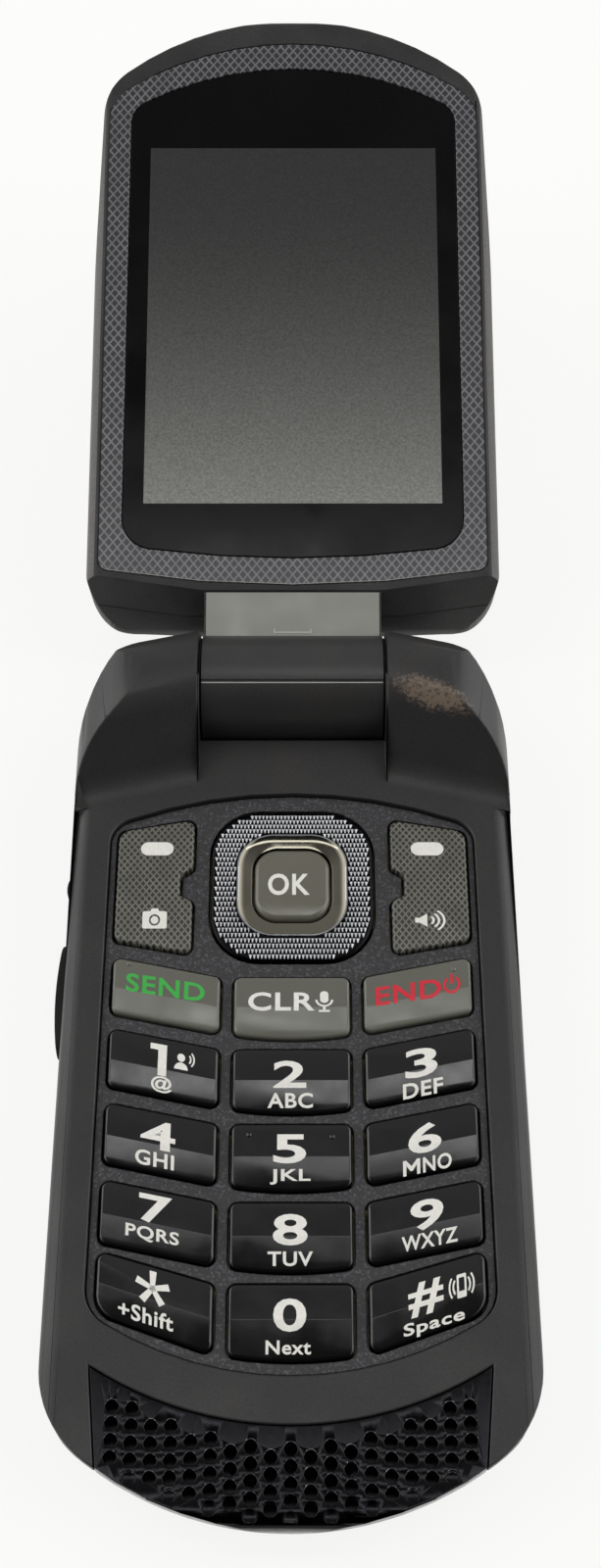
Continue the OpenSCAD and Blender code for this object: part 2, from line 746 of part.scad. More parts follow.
// Rise of a row's side keys from their inner to their outer edge
function row_rise(row) = row == 4 ? (last_row_rise[0] + last_row_rise[1]) / 2 : key_rise;

// Outline of a key, by its column and its row
module key_plan(col, row) {
  top = -row_top - row * row_pitch;
  last = row == 4;
  if (col == 0) {
    h = key_h + (last ? last_row_extra : 0);
    w = mid_key_w / 2;
    offset(r = key_corner_r, $fn = 24) offset(delta = -key_corner_r)
      polygon(concat([[-w, top], [-w, top - h + 0.5]],
        [for (i = [1 : 5]) let (x = -w + i * w / 3) [x, top - h + 0.5 * pow(x / w, 2)]],
        [[w, top - h + 0.5], [w, top]]));
  } else {
    rise = last ? last_row_rise : [key_rise, key_rise];
    h = side_key_h + (last ? last_row_extra : 0);
    inner = [[side_key_in, top], [side_key_in, top - h]];
    outer = [[side_key_out, top - h + rise[1]], [side_key_out, top + rise[0]]];
    beyond = [[side_key_out, top + h], [-side_key_out, top + h], [-side_key_out, top - 2 * h]];
    mirror([col < 0 ? 1 : 0, 0]) intersection() {
      offset(r = key_corner_r, $fn = 24) offset(delta = -key_corner_r) polygon(concat(inner, outer));
      if (last)
        offset(r = last_corner_r, $fn = 32) offset(delta = -last_corner_r)
          polygon(concat([inner[1], outer[0]], beyond));
    }
  }
}

// Outline of the right soft key, with the notch in its inner edge
module soft_plan() offset(r = key_corner_r, $fn = 24) offset(delta = -key_corner_r) polygon([
  [soft_in, -soft_top[0]], [soft_out, -soft_top[1]], [soft_out, -soft_foot[1]], [soft_in, -soft_foot[0]],
  [soft_in, -soft_notch[1]], [soft_in + soft_notch_d, -soft_notch[1] + 0.8],
  [soft_in + soft_notch_d, -soft_notch[0] - 0.8], [soft_in, -soft_notch[0]]]);

// Outlines of the navigation ring and of the confirm key
module nav_plan(gap = 0)
  translate([0, -nav_y]) round_rect(nav_w + 2 * gap, nav_h + 2 * gap, nav_corner_r + gap);
module ok_plan(gap = 0)
  translate([0, -nav_y]) round_rect(ok_w + 2 * gap, ok_h + 2 * gap, ok_corner_r + gap);

// Every opening in the keypad panel
module key_windows(gap) {
  for (col = [-1 : 1], row = [0 : 4]) offset(delta = gap) key_plan(col, row);
  both_sides() offset(delta = gap) soft_plan();
  nav_plan(gap);
}

module keypad_panel() color(housing_colour) at_axis() difference() {
  union() {
    slab(face_under - fit_gap, panel_z) polygon(panel_plan());
    slab(panel_under, face_under) intersection() {
      polygon(panel_plan(-0.8));
      polygon(base_plan(wall));
    }
  }
  slab(panel_under - cut, panel_z + cut) key_windows(key_gap);
}

module speaker_grille() color("#55565a") at_axis() difference() {
  intersection() {
    slab(grille_z, base_t + cut) grille_plan();
    base_block(seam_z, base_t);
  }
  for (k = [-9 : 9]) {
    x = k * hole_pitch_x;
    odd = abs(k) % 2;
    y = hole_top - chin_reach + pow(x, 2) / (2 * (grille_arc_r - 6)) - odd * hole_pitch_y / 2;
    for (i = [0 : 3]) sound_hole([x, y - i * hole_pitch_y], grille_z - cut);
    if (odd == 0) sound_hole([x, y - 4 * hole_pitch_y], base_t - dimple_d);
  }
}

// A hole in the grille from the height z0 up
module sound_hole(p, z0) slab(z0, base_t + cut) translate(p) circle(r = hole_r, $fn = 24);

// Two sloping halves of a key's top, which meet along its middle
module key_roof(col, row) {
  turn = col * atan(row_rise(row) / (side_key_out - side_key_in));
  translate([col * (side_key_in + side_key_out) / 2, key_middle(col, row), 0]) rotate(turn)
    across(base_w) polygon([
      [key_h, key_under], [key_h, key_top - key_h * tan(key_back_slope)], [0, key_top],
      [-key_h, key_top - key_h * tan(key_slope)], [-key_h, key_under]]);
}

// Crown of a key, round about a line across the base
module crown(cy, r) translate([0, cy, key_top - r]) rod(r, -base_w / 2, base_w / 2, $fn = 360);

// A key of the number block: flange, and a cap through the panel
module block_key(col, row) at_axis() {
  slab(key_under, panel_under) offset(delta = key_flange) key_plan(col, row);
  intersection() {
    slab(panel_under - fit_gap, key_top + cut) key_plan(col, row);
    key_roof(col, row);
  }
}

// A soft key rocks, so its flange sits lower, clear of the panel
module soft_key() at_axis() {
  slab(nav_under, key_under) offset(delta = key_flange) soft_plan();
  intersection() {
    slab(key_under - fit_gap, key_top + cut) soft_plan();
    crown(-nav_y, nav_crown_r);
  }
}

module nav_key() color(metal_colour) at_axis() difference() {
  union() {
    slab(nav_under, key_under) nav_plan(key_flange);
    intersection() {
      slab(key_under - fit_gap, key_top + cut) nav_plan();
      crown(-nav_y, nav_crown_r);
    }
  }
  slab(nav_under - cut, key_top + cut) ok_plan(key_gap);
}

module ok_key() color(call_key_colour) at_axis() intersection() {
  slab(key_under, key_top + cut) ok_plan();
  crown(-nav_y, ok_crown_r);
}

// Plate under the navigation ring that presses the four contacts
module nav_actuator() color(rubber_colour) at_axis() slab(actuator_z[0], actuator_z[1]) translate([0, -nav_y]) {
  circle(r = actuator_r);
}

module main_board() color(board_colour) at_axis() slab(board_z, board_z + board_t) difference() {
  foot = board_foot - chin_reach;
  top = -bay_end - fit_gap;
  notch_x = jack_body[0] + wall + 2 * move_gap - base_w / 2;
  notch_y = -port_y - jack_body[1] / 2 - move_gap;
  socket_room = [2 * (wall + socket_depth + move_gap), socket_mouth[0] + 8 * move_gap];
  offset(r = 1.5) offset(delta = -1.5) polygon([
    [-board_half_w, foot], [board_half_w, foot], [board_half_w, top],
    [notch_x, top], [notch_x, notch_y], [-board_half_w, notch_y]]);
  translate([base_w / 2, -port_y]) square(socket_room, center = true);
  both_sides() translate(upper_screw) circle(r = boss_r + fit_gap);
}

module shield_can() color(metal_colour) at_axis() slab(board_z - shield_h, board_z)
  translate([-3, -bay_top + shield[1] / 2 + 1.5]) round_rect(shield[0], shield[1], shield_h / 2);

module dome_sheet() color("#c7b98a") at_axis() {
  slab(dome_z, dome_z + dome_t) intersection() {
    polygon(panel_plan(1));
    translate([-board_half_w, board_foot + 0.4 - chin_reach])
      square([2 * board_half_w, chin_reach - board_foot - port_y - 4.8]);
  }
  for (row = [0 : 4], col = [-1 : 1])
    translate([col * (side_key_in + side_key_out) / 2, key_middle(col, row), 0]) dome(dome_top);
  both_sides() for (y = [soft_notch[0] - 3.4, soft_notch[1] + 3])
    translate([(soft_in + soft_out) / 2, -y, 0]) dome(rock_dome_top);
}

// One spring contact, up to the height top
module dome(top) translate([0, 0, dome_z + dome_t / 2])
  cylinder(r1 = dome_r, r2 = dome_r / 2, h = top - dome_z - dome_t / 2);

module battery() color("#3c4048") at_axis() slab(battery_z, bay_z)
  translate([0, -bay_top - contact[1] - battery_len / 2]) round_rect(battery_w, battery_len, 1.4);

module battery_contacts() color(brass_colour) at_axis() for (k = [-1 : 1])
  translate([k * contact_pitch - contact[0] / 2, -bay_top - contact[1], battery_z + cover_t]) cube(contact);

module battery_seal() color("#8c4a30") at_axis() slab(cover_t, recess_z + seal_t - fit_gap) difference() {
  bay_plan(2 * seal_w);
  bay_plan(seal_w);
}

module loudspeaker() color("#202022") at_axis() difference() {
  slab(chin_ceiling - speaker_h, chin_ceiling) speaker_plan();
  slab(chin_ceiling - 0.4, chin_ceiling + cut) speaker_plan(-1);
}

module microphone() color(metal_colour) at_axis() translate(mic_at) difference() {
  slab(dome_z, dome_z + mic[2]) square([mic[0], mic[1]], center = true);
  slab(dome_z + mic[2] / 2, dome_z + 2 * mic[2]) circle(d = mic[1] / 3);
}

module vibration_motor() color(metal_colour) at_axis() translate(motor_at) {
  slab(floor_z, floor_z + motor_h) circle(r = motor_r);
  slab(floor_z, floor_z + motor_h / 3) translate([0, -motor_r]) square(motor_r / 2, center = true);
}

module headset_jack() color("#17171a") at_axis() {
  mouth = -base_w / 2 + wall + fit_gap;
  translate([0, -port_y, port_z]) difference() {
    translate([mouth, -jack_body[1] / 2, -jack_body[2] / 2]) cube(jack_body);
    rod(jack_r, mouth - cut, mouth + jack_depth);
  }
}

module charger_socket() color(metal_colour) at_axis() difference() {
  mouth = base_w / 2 - wall - fit_gap;
  translate([mouth - socket_depth / 2, 0, 0]) across(socket_depth) socket_outline(3 * fit_gap);
  translate([mouth, 0, 0]) across(1.5 * socket_depth) socket_outline();
}

module antenna() color(brass_colour) at_axis() intersection() {
  difference() {
    chin_barrel(wall + fit_gap);
    chin_barrel(wall + fit_gap + antenna_t);
  }
  slab(seam_z + fit_gap, chin_ceiling - fit_gap)
    translate([-antenna_w / 2, -chin_reach]) square([antenna_w, chin_arc_r / 2]);
}

module base_screws() color(metal_colour) at_axis() both_sides() for (p = [upper_screw, lower_screw])
  translate([p[0], p[1], 0.5]) difference() {
    union() {
      cylinder(r = screw_head_r, h = screw_head_h);
      cylinder(r = screw_r - fit_gap / 2, h = seam_z + screw_len - 0.7);
    }
    translate([0, 0, -cut]) cylinder(r = 0.7, h = cut + 0.7, $fn = 6);
  }

module hinge_cartridge() color(metal_colour) at_axis() translate([0, 0, hinge_z]) difference() {
  union() {
    rod(cartridge_r, -ear_in - pin_hold, -ear_in);
    rod(shaft_r, -ear_in - cut, -barrel_w / 2 + pin_depth);
  }
  translate([-ear_in - pin_hold / 2, 0, 0]) rotate([0, 90, 0]) rotate_extrude()
    translate([cartridge_r, 0]) circle(r = 0.5, $fn = 24);
}

module hinge_pin() color(metal_colour) at_axis() translate([0, 0, hinge_z]) {
  rod(pin_r, barrel_w / 2 - pin_depth, ear_in + pin_hold - 0.5);
  translate([ear_in + pin_hold - 0.5, 0, 0]) rotate([0, 90, 0]) cylinder(r1 = pin_r, r2 = pin_r - 0.5, h = 0.5);
}

module volume_key() color(rubber_colour) at_axis() {
  out = base_w / 2 + volume_proud;
  inner = (base_w - chin_taper) / 2 - wall - move_gap;
  intersection() {
    translate([-(out + inner) / 2, 0, 0]) across(out - inner + fit_gap) volume_outline();
    translate([volume_crown_r - out, -volume_y, 0]) cylinder(r = volume_crown_r, h = base_t, $fn = 120);
  }
  translate([volume_flange_t / 2 - inner, 0, 0]) across(volume_flange_t) volume_outline(2 * move_gap);
}

// A port cover on the left side, flush with the wall, with the plug that closes its port
module port_cover(len) {
  seat = base_w / 2 - port_cover_t;
  intersection() {
    translate([-seat - base_w / 4, 0, 0]) across(base_w / 2) cover_outline(len);
    base_block(seam_z, base_t);
  }
}

module jack_cover() color(rubber_colour) at_axis() {
  tab_y = -cover_top - jack_cover_len + 2.4;
  seat = base_w / 2 - port_cover_t;
  port_cover(jack_cover_len);
  translate([0, -port_y, port_z]) rod(jack_r - move_gap, -seat - fit_gap, -seat + 0.8);
  intersection() {
    translate([-base_w / 2 + 2.6, tab_y, 0]) cylinder(r = 3.1, h = base_t);
    translate([-seat - base_w / 4, 0, 0]) across(base_w / 2) cover_outline(jack_cover_len);
  }
}

module charger_cover() color(rubber_colour) at_axis() mirror([1, 0, 0]) difference() {
  port_cover(charger_cover_len);
  translate([-base_w / 2 - 1.2, -cover_top - charger_cover_len + 1.2, port_z]) sphere(r = 1.8);
}

module battery_cover() color(housing_colour) at_axis() difference() {
  slab(0, cover_t) polygon(cover_plan());
  translate([lock_at[0], lock_at[1], -cut]) cylinder(r = lock_r + move_gap, h = cover_t + 2 * cut);
}

module cover_lock() color(metal_colour) at_axis() translate([lock_at[0], lock_at[1], 0]) difference() {
  union() {
    cylinder(r = lock_r, h = cover_t);
    cylinder(r = lock_stem_r, h = cover_t + lock_stem_len);
  }
  slab(-cut, cover_t / 2) square([1.5 * lock_r, 1.2], center = true);
}

// What lies behind the swept parts of the lid's end wall, on both sides of the neck, drawn in by i
module heel_sweep(i = 0) intersection() {
  swept_half(i);
  mirror([1, 0, 0]) swept_half(i);
}
module swept_half(i) translate([ear_in, lid_heel + heel_slant + end_flat, 0]) rotate(heel_turn)
  across(6 * lid_w) polygon([
    [i + heel_sweep_run * cut / lid_t, cut], [i - heel_sweep_run, -lid_t], [3 * lid_len, -lid_t], [3 * lid_len, cut]]);

// The lid between two depths below its face
module lid_block(d0, d1) intersection() {
  slab(-d1, -d0) polygon(lid_plan());
  heel_sweep();
  across(lid_w + 2 * cut) polygon(lid_side());
  along(0, lid_len + cut) translate([0, -lid_t])
    polygon(outline(section(lid_w / 2 - end_flat, lid_t, lid_back_r, lid_face_r)));
}

// Neck between the barrel and the lid, grown by gap
module neck(gap = 0) {
  root = lid_heel + heel_slant + lid_wall;
  across(barrel_w + 2 * gap) polygon([
    [0, gap - neck_face], [root, gap - neck_face], [root, -lid_seam],
    [lid_heel + lid_wall, -neck_t - gap], [barrel_r / 3, -neck_t - gap]]);
}

// Half space of the barrel on the cover's side of its seams
module cover_half() rotate([barrel_seam, 0, 0]) translate([-barrel_w, -2 * barrel_r, 0])
  cube([2 * barrel_w, 4 * barrel_r, 2 * barrel_r]);

module lid_frame() color(lid_colour) at_lid() difference() {
  union() {
    difference() {
      lid_block(0, lid_seam);
      slab(-lid_seam - cut, -lid_face) polygon(lid_plan(lid_wall + heel_slant));
    }
    neck();
    rod(barrel_r - barrel_cover_t, -barrel_w / 2, barrel_w / 2);
    difference() {
      rod(barrel_r, -barrel_w / 2, barrel_w / 2);
      cover_half();
    }
  }
  slab(-bezel_t, cut) polygon(bezel_plan(-fit_gap));
  slab(-glass_t - fit_gap, cut) polygon(glass_plan(-fit_gap));
  slab(-lid_face - cut, cut) translate([0, view_mid]) square([view_w + 1, view_h + 1], center = true);
  rod(shaft_r + bore_gap, -barrel_w, -barrel_w / 2 + pin_depth + 0.4);
  rod(pin_r + bore_gap, barrel_w / 2 - pin_depth - 0.4, barrel_w);
  translate([-slot_half_w, barrel_r / 2, -flex_depth - flex_slot_t / 2])
    cube([2 * slot_half_w, lid_heel + heel_slant + 2 * lid_wall, flex_slot_t]);
  lid_screw_places() translate([0, 0, -lid_seam - cut]) {
    cylinder(r = lid_screw_r + fit_gap, h = lid_seam + cut);
    translate([0, 0, lid_seam + cut - bezel_t - lid_screw_head_h])
      cylinder(r = lid_screw_head_r + fit_gap, h = cut);
  }
}

// Screws under the bezel
module lid_screw_places() both_sides() for (y = [bezel_foot + 8, bezel_top - 16])
  translate([(bezel_w + glass_w) / 4 + 0.05, y, 0]) children();

module lid_screws() color(metal_colour) at_lid() lid_screw_places() {
  slab(-lid_seam - lid_screw_bite, -bezel_t - fit_gap) circle(r = lid_screw_r);
  slab(-bezel_t - lid_screw_head_h, -bezel_t) circle(r = lid_screw_head_r);
}

module lid_cover() color(lid_colour) at_lid() difference() {
  union() {
    difference() {
      lid_block(lid_seam, lid_t);
      intersection() {
        slab(lid_wall - lid_t, cut) polygon(lid_plan(lid_wall));
        heel_sweep(lid_wall);
      }
    }
    lid_screw_places() slab(lid_wall - lid_t - fit_gap, -lid_seam) circle(r = lid_screw_head_r + 0.4);
  }
  neck(fit_gap);
  lid_screw_places() slab(-lid_seam - lid_screw_bite - 0.4, cut) circle(r = lid_screw_r);
  slab(-lid_t - cut, outer_window_t - lid_t) translate([0, outer_view_y])
    round_rect(outer_window_w, outer_window_w, outer_corner_r);
  slab(-lid_t - cut, cut) translate([0, outer_view_y]) square([outer_view_w, outer_view_w], center = true);
  translate([0, camera_y, -lid_t - cut]) {
    cylinder(r = camera_r + fit_gap, h = cut + camera_window_t);
    cylinder(r = camera_r - 1, h = 3 * cut);
  }
  translate([flash_x, camera_y, -lid_t - cut]) cylinder(r = flash_r + fit_gap, h = 3 * cut + fit_gap);
}

module screen_bezel() color("#3a3d45") at_lid() slab(-bezel_t, 0) difference() {
  polygon(bezel_plan());
  polygon(glass_plan(-fit_gap));
}

module screen_glass() color(glass_colour) at_lid() slab(-glass_t - fit_gap, -fit_gap) polygon(glass_plan());

module display_panel() color("#6d6e6b") at_lid() slab(-display_back, -lid_face)
  translate([0, view_mid])
  round_rect(view_w + 2 * display_border, view_h + 4 * display_border, 0.5);

module lid_board() color(board_colour) at_lid() slab(-display_back - lid_board_t, -display_back)
  translate([0, view_mid]) round_rect(view_w, view_h + 3 * display_border, 1);

module earpiece() color(metal_colour) at_lid() slab(-lid_face - 2.4, -lid_face)
  translate([0, view_foot + view_h + 2 * display_border + 3.2]) round_rect(12, 5, 2);

module barrel_cover() color(housing_colour) at_lid() intersection() {
  difference() {
    rod(barrel_r, -barrel_w / 2, barrel_w / 2);
    rod(barrel_r - barrel_cover_t, -barrel_w, barrel_w);
    neck(fit_gap);
  }
  cover_half();
}

module outer_display() color("#26292e") at_lid() slab(lid_wall - lid_t, lid_wall - lid_t + display_t)
  translate([0, outer_view_y]) round_rect(outer_view_w + 3, outer_view_w + 3, 0.5);

module outer_window() color(glass_colour) at_lid() slab(-lid_t, outer_window_t - lid_t)
  translate([0, outer_view_y])
  round_rect(outer_window_w - 2 * fit_gap, outer_window_w - 2 * fit_gap, outer_corner_r - fit_gap);

module camera_module() color("#1b1b1e") at_lid() translate([0, camera_y, 0]) {
  slab(lid_wall - lid_t, -display_back - lid_board_t - fit_gap)
    round_rect(camera_body, camera_body, 0.6);
  translate([0, 0, camera_window_t - lid_t]) cylinder(r = camera_r - 1.2, h = lid_wall);
}

module camera_window() color(glass_colour) at_lid() translate([0, camera_y, -lid_t])
  cylinder(r = camera_r, h = camera_window_t);

module flash_window() color("#e8e6da") at_lid() translate([flash_x, camera_y, -lid_t])
  cylinder(r = flash_r, h = lid_wall + 0.6);

module hinge_flex() color("#b5762e") at_lid() translate([0, 0, -flex_depth]) {
  flex_w = 2 * slot_half_w - 6 * flex_slot_t / 5;
  translate([-flex_w / 2, barrel_r / 2 + flex_t, -flex_t / 2])
    cube([flex_w, view_foot - barrel_r / 2 - 4, flex_t]);
}

// Keys of the number block, by column and row
module send_key() color(call_key_colour) block_key(-1, 0);
module clear_key() color(call_key_colour) block_key(0, 0);
module end_key() color(call_key_colour) block_key(1, 0);
module number_key(col, row) color(key_colour) block_key(col, row);
module soft_key_left() color("#47484b") mirror([1, 0, 0]) soft_key();
module soft_key_right() color("#47484b") soft_key();

front_housing();
rear_housing();
keypad_panel();
speaker_grille();
main_board();
shield_can();
dome_sheet();
battery();
battery_contacts();
battery_seal();
loudspeaker();
microphone();
vibration_motor();
headset_jack();
charger_socket();
antenna();
base_screws();
hinge_cartridge();
hinge_pin();
nav_actuator();
nav_key();
ok_key();
soft_key_left();
soft_key_right();
send_key();
clear_key();
end_key();
number_key(-1, 1);  // key_1
number_key(0, 1);  // key_2
number_key(1, 1);  // key_3
number_key(-1, 2);  // key_4
number_key(0, 2);  // key_5
number_key(1, 2);  // key_6
number_key(-1, 3);  // key_7
number_key(0, 3);  // key_8
number_key(1, 3);  // key_9
number_key(-1, 4);  // key_star
number_key(0, 4);  // key_0
number_key(1, 4);  // key_hash
volume_key();
jack_cover();
charger_cover();
battery_cover();
cover_lock();
lid_frame();
lid_cover();
screen_bezel();
screen_glass();
display_panel();
lid_board();
earpiece();
barrel_cover();
outer_display();
outer_window();
camera_module();
camera_window();
flash_window();
hinge_flex();
lid_screws();
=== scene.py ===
"""Rugged flip phone: the looks of its pieces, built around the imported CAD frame.

Lengths in the drawing code are in millimetres. Pieces of the base are drawn from the hinge axis: x across,
y along the base and negative towards the chin, z up from the table. Pieces of the lid are drawn flat: y away
from the hinge axis, z up from it.
"""

import functools
import json
import math

import bmesh
import bpy
from bpy.props import FloatProperty, FloatVectorProperty, PointerProperty
from mathutils import Matrix, Vector
from mathutils.bvhtree import BVHTree

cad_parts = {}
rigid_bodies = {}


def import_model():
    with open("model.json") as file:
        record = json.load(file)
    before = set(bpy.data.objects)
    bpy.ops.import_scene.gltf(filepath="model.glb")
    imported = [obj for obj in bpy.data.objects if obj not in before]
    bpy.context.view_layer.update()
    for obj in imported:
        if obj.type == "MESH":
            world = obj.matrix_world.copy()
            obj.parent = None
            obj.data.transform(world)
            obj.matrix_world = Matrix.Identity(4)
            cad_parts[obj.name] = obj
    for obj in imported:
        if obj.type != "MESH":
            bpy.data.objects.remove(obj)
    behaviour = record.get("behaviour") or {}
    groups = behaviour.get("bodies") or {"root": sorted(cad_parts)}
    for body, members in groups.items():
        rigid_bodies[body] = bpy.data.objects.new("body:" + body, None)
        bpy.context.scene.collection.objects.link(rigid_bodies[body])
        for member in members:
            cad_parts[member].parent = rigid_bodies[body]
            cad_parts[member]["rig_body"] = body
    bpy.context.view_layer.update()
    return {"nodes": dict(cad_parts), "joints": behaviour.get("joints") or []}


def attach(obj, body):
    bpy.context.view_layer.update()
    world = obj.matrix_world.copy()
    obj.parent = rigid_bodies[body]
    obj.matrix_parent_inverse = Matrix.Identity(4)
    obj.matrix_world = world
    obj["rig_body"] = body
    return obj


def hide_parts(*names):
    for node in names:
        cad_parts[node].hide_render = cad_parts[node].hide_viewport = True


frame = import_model()

bl_info = {
    "name": "Rugged Flip Phone",
    "version": (1, 0, 0),
    "blender": (4, 5, 0),
    "location": "3D View > Sidebar > Phone",
    "description": "Dresses the packed flip phone with moulded, plated and printed pieces",
    "category": "Object",
}

MM = 0.001
HINGE_JOINT = next(joint for joint in frame["joints"] if joint["name"] == "lid_hinge")
HINGE = Vector(HINGE_JOINT["pos_m"])
LEAN = math.radians(180 - HINGE_JOINT["range_deg"][1])
BASE = Matrix.Translation((0, HINGE.y, 0))
LID = Matrix.Translation(HINGE) @ Matrix.Rotation(LEAN, 4, "X")

# Keys of the number block: node, column, row
NUMBER_KEYS = [
    ("key_1", -1, 1), ("key_2", 0, 1), ("key_3", 1, 1),
    ("key_4", -1, 2), ("key_5", 0, 2), ("key_6", 1, 2),
    ("key_7", -1, 3), ("key_8", 0, 3), ("key_9", 1, 3),
    ("key_star", -1, 4), ("key_0", 0, 4), ("key_hash", 1, 4),
]
CALL_KEYS = [("send_key", -1, 0), ("clear_key", 0, 0), ("end_key", 1, 0)]

# What is printed on each key: text or icon, x, y, width, height
LEGENDS = {
    "send_key": [("SEND", -13.91, -38.58, 8.7, 2.23)],
    "clear_key": [("CLR", -1.15, -40.24, 7.27, 2.2), ("microphone", 3.55, -40.24, 1.97, 2.44)],
    "end_key": [("END", 12.8, -39.12, 7.25, 2.22), ("power", 17.59, -38.11, 1.91, 2.35)],
    "key_1": [("one", -14.35, -46.97, 1.79, 3.55), ("@", -13.91, -49.77, 2.3, 1.77),
              ("voice", -11.52, -47.17, 2.22, 2.13)],
    "key_2": [("2", -0.2, -48.66, 3.54, 3.07), ("ABC", -0.15, -51.54, 4.84, 1.63)],
    "key_3": [("3", 13.93, -47.32, 3.48, 3.25), ("DEF", 14.05, -50.17, 4.3, 1.64)],
    "key_4": [("4", -14.07, -55.49, 3.68, 3.11), ("GHI", -14.34, -58.05, 4.11, 1.57)],
    "key_5": [("5", -0.18, -56.95, 3.46, 3.16), ("JKL", -0.13, -59.91, 4.25, 1.6)],
    "key_6": [("6", 14.03, -55.75, 3.51, 3.22), ("em", 12.57, -58.9, 1.8, 1.59),
              ("NO", 15.28, -58.34, 3.03, 1.62)],
    "key_7": [("7", -14.05, -63.46, 3.44, 3.0), ("PQRS", -14.27, -66.12, 5.53, 1.52)],
    "key_8": [("8", -0.11, -65.55, 3.58, 3.27), ("TUV", -0.1, -68.51, 4.64, 1.45)],
    "key_9": [("9", 14.0, -63.95, 3.44, 3.19), ("WXYZ", 14.2, -66.53, 5.79, 1.53)],
    "key_star": [("star", -14.01, -71.54, 3.57, 3.37), ("+Shift", -14.61, -74.29, 5.61, 1.56)],
    "key_0": [("0", -0.13, -74.25, 3.35, 3.31), ("Next", -0.27, -77.39, 4.53, 1.35)],
    "key_hash": [("#", 13.59, -72.49, 3.56, 3.35), ("vibrate", 17.25, -71.3, 2.67, 2.38),
                 ("Space", 14.37, -75.07, 6.19, 1.56)],
    "soft_key_left": [("bar", -15.45, -21.3, 3.75, 1.75), ("camera", -15.42, -30.14, 2.75, 2.43)],
    "soft_key_right": [("bar", 15.45, -21.3, 3.75, 1.75), ("loudspeaker", 15.51, -30.35, 3.41, 2.43)],
    "ok_key": [("OK", -0.36, -25.9, 4.75, 2.73)],
}

# Slant of the lines of print on the side keys, by row, in degrees
LEGEND_SLANTS = (9.0, 11.7, 11.7, 11.7, 16.5)

# Height on a key above which its CAD solid shows the outline of its cap
CAP_FOOT = 10.0

# Slopes of a key's top towards the chin and towards the hinge
KEY_SLOPES = (math.tan(math.radians(8)), math.tan(math.radians(2)))

# Worn streak along the crest of the right hinge ear: middle and reach, in millimetres, and turn
WORN_MIDDLE = Vector((16.2, HINGE.y / MM - 4.4, 17.5))
WORN_REACH = Vector((9, 3, 7))
WORN_TURN = math.radians(-20)

# The photograph's lens: place and focal length in millimetres, tilt from straight down
LENS_PLACE = Vector((0.95, -77.34, 199.93))
LENS_LENGTH = 42.75
LENS_TILT = math.radians(29.89)

# Rays for finding the top of a solid start well above the phone and go down
ABOVE = 60
DOWN = (0, 0, -1)

# The plate on the lid's neck and the bars of the bracket printed on it: left, right, foot, top
NECK_PLATE = (-10.5, 10.5, 6.4, 12.3)
NECK_BARS = ((-2.3, 2.3, 7.1, 7.3), (-2.3, -2.1, 7.3, 7.65), (2.1, 2.3, 7.3, 7.65))

# The joint across the barrel: a black strip of painted shade for the gap, above a pale strip of painted
# highlight along its edge: left, right, foot, top
SEAM_GAP = (-10.6, 10.6, -1.0, -0.8)
SEAM_HIGHLIGHT = (-10.6, 10.6, -1.14, -1.02)

# Rubber washers at the ends of the barrel: where each starts, and its section as distance along x and radius
WASHERS = (("left", -11.0), ("right", 10.75))
WASHER_SECTION = ((0, 4.6), (0, 6.05), (0.05, 6.1), (0.2, 6.1), (0.25, 6.05), (0.25, 4.6), (0, 4.6))

# Outline of the right soft key, notched to go round the ring: corners and their radii
SOFT_CORNERS = ((11.25, -17.3), (11.25, -23.8), (12.7, -24.6), (12.7, -27.2), (11.25, -28.0), (11.25, -34.3),
                (19.9, -32.7), (19.9, -18.9))
SOFT_RADII = (1.0, 0.8, 0.3, 0.3, 0.8, 0.9, 1.2, 1.6)

# Section of the ring, from the foot of its outer wall over rim, toothed band, lip and dish to the opening:
# half width, half height, corner radius, height against the crown
RING_SECTION = (
    (9.15, 9.45, 5.5, None), (9.15, 9.45, 5.5, -0.6), (9.1, 9.4, 5.45, -0.36), (8.98, 9.28, 5.35, -0.24),
    (8.85, 9.15, 5.25, -0.2), (8.8, 9.1, 5.2, -0.24), (6.3, 6.45, 4.2, -0.24), (6.25, 6.4, 4.15, -0.03),
    (6.12, 6.27, 4.1, -0.03), (6.05, 6.2, 4.05, -0.08), (5.7, 5.87, 3.75, -0.22), (5.3, 5.47, 3.45, -0.335),
    (4.8, 5.0, 3.05, -0.42), (4.55, 4.75, 2.85, -0.5), (4.5, 4.7, 2.8, -2.2),
)

# Boxes with round corners that bound the ring's teeth: half width, half height, corner radius
RING_OUTER = RING_SECTION[5][:3]
RING_INNER = RING_SECTION[6][:3]

# Width of the silver lip inside the teeth, depth of the teeth's feet below the crown and height of their tips
LIP_WIDTH = 0.22
TOOTH_FOOT = 0.23
TOOTH_RISE = 0.17

# The confirm key: half width, half height, corner radius; radius along its upper rim
OK_BOX = (4.25, 4.45, 2.6)
OK_RIM = 0.55

# Raised dots that a thumb feels: radius, rise, and on each key x, y
PIP_RADIUS = 0.3
PIP_RISE = 0.16
PIPS = {
    "send_key": [(-18.03, -35.67)],
    "end_key": [(17.87, -36.38)],
    "key_5": [(-4.48, -55.4), (4.3, -55.62)],
}

# The grille's rims that get bright plating as a painted highlight: widest of them, and the place along y
# beyond which they stay dark
GRILLE_RIM = 0.12
GRILLE_DARK = -91.3

# Faces of the lid frame within this distance of the hinge axis belong to the barrel, in millimetres
BARREL_REACH = 7

# Edges of a skin that turn by more than this are rounded
SHARP = math.radians(38)

# Strip lamp: length, width and place in metres, and radiance
LAMP_LENGTH = 2.4
LAMP_WIDTH = 0.15
LAMP_PLACE = (0, 0.125, 1.4)
LAMP_RADIANCE = 4

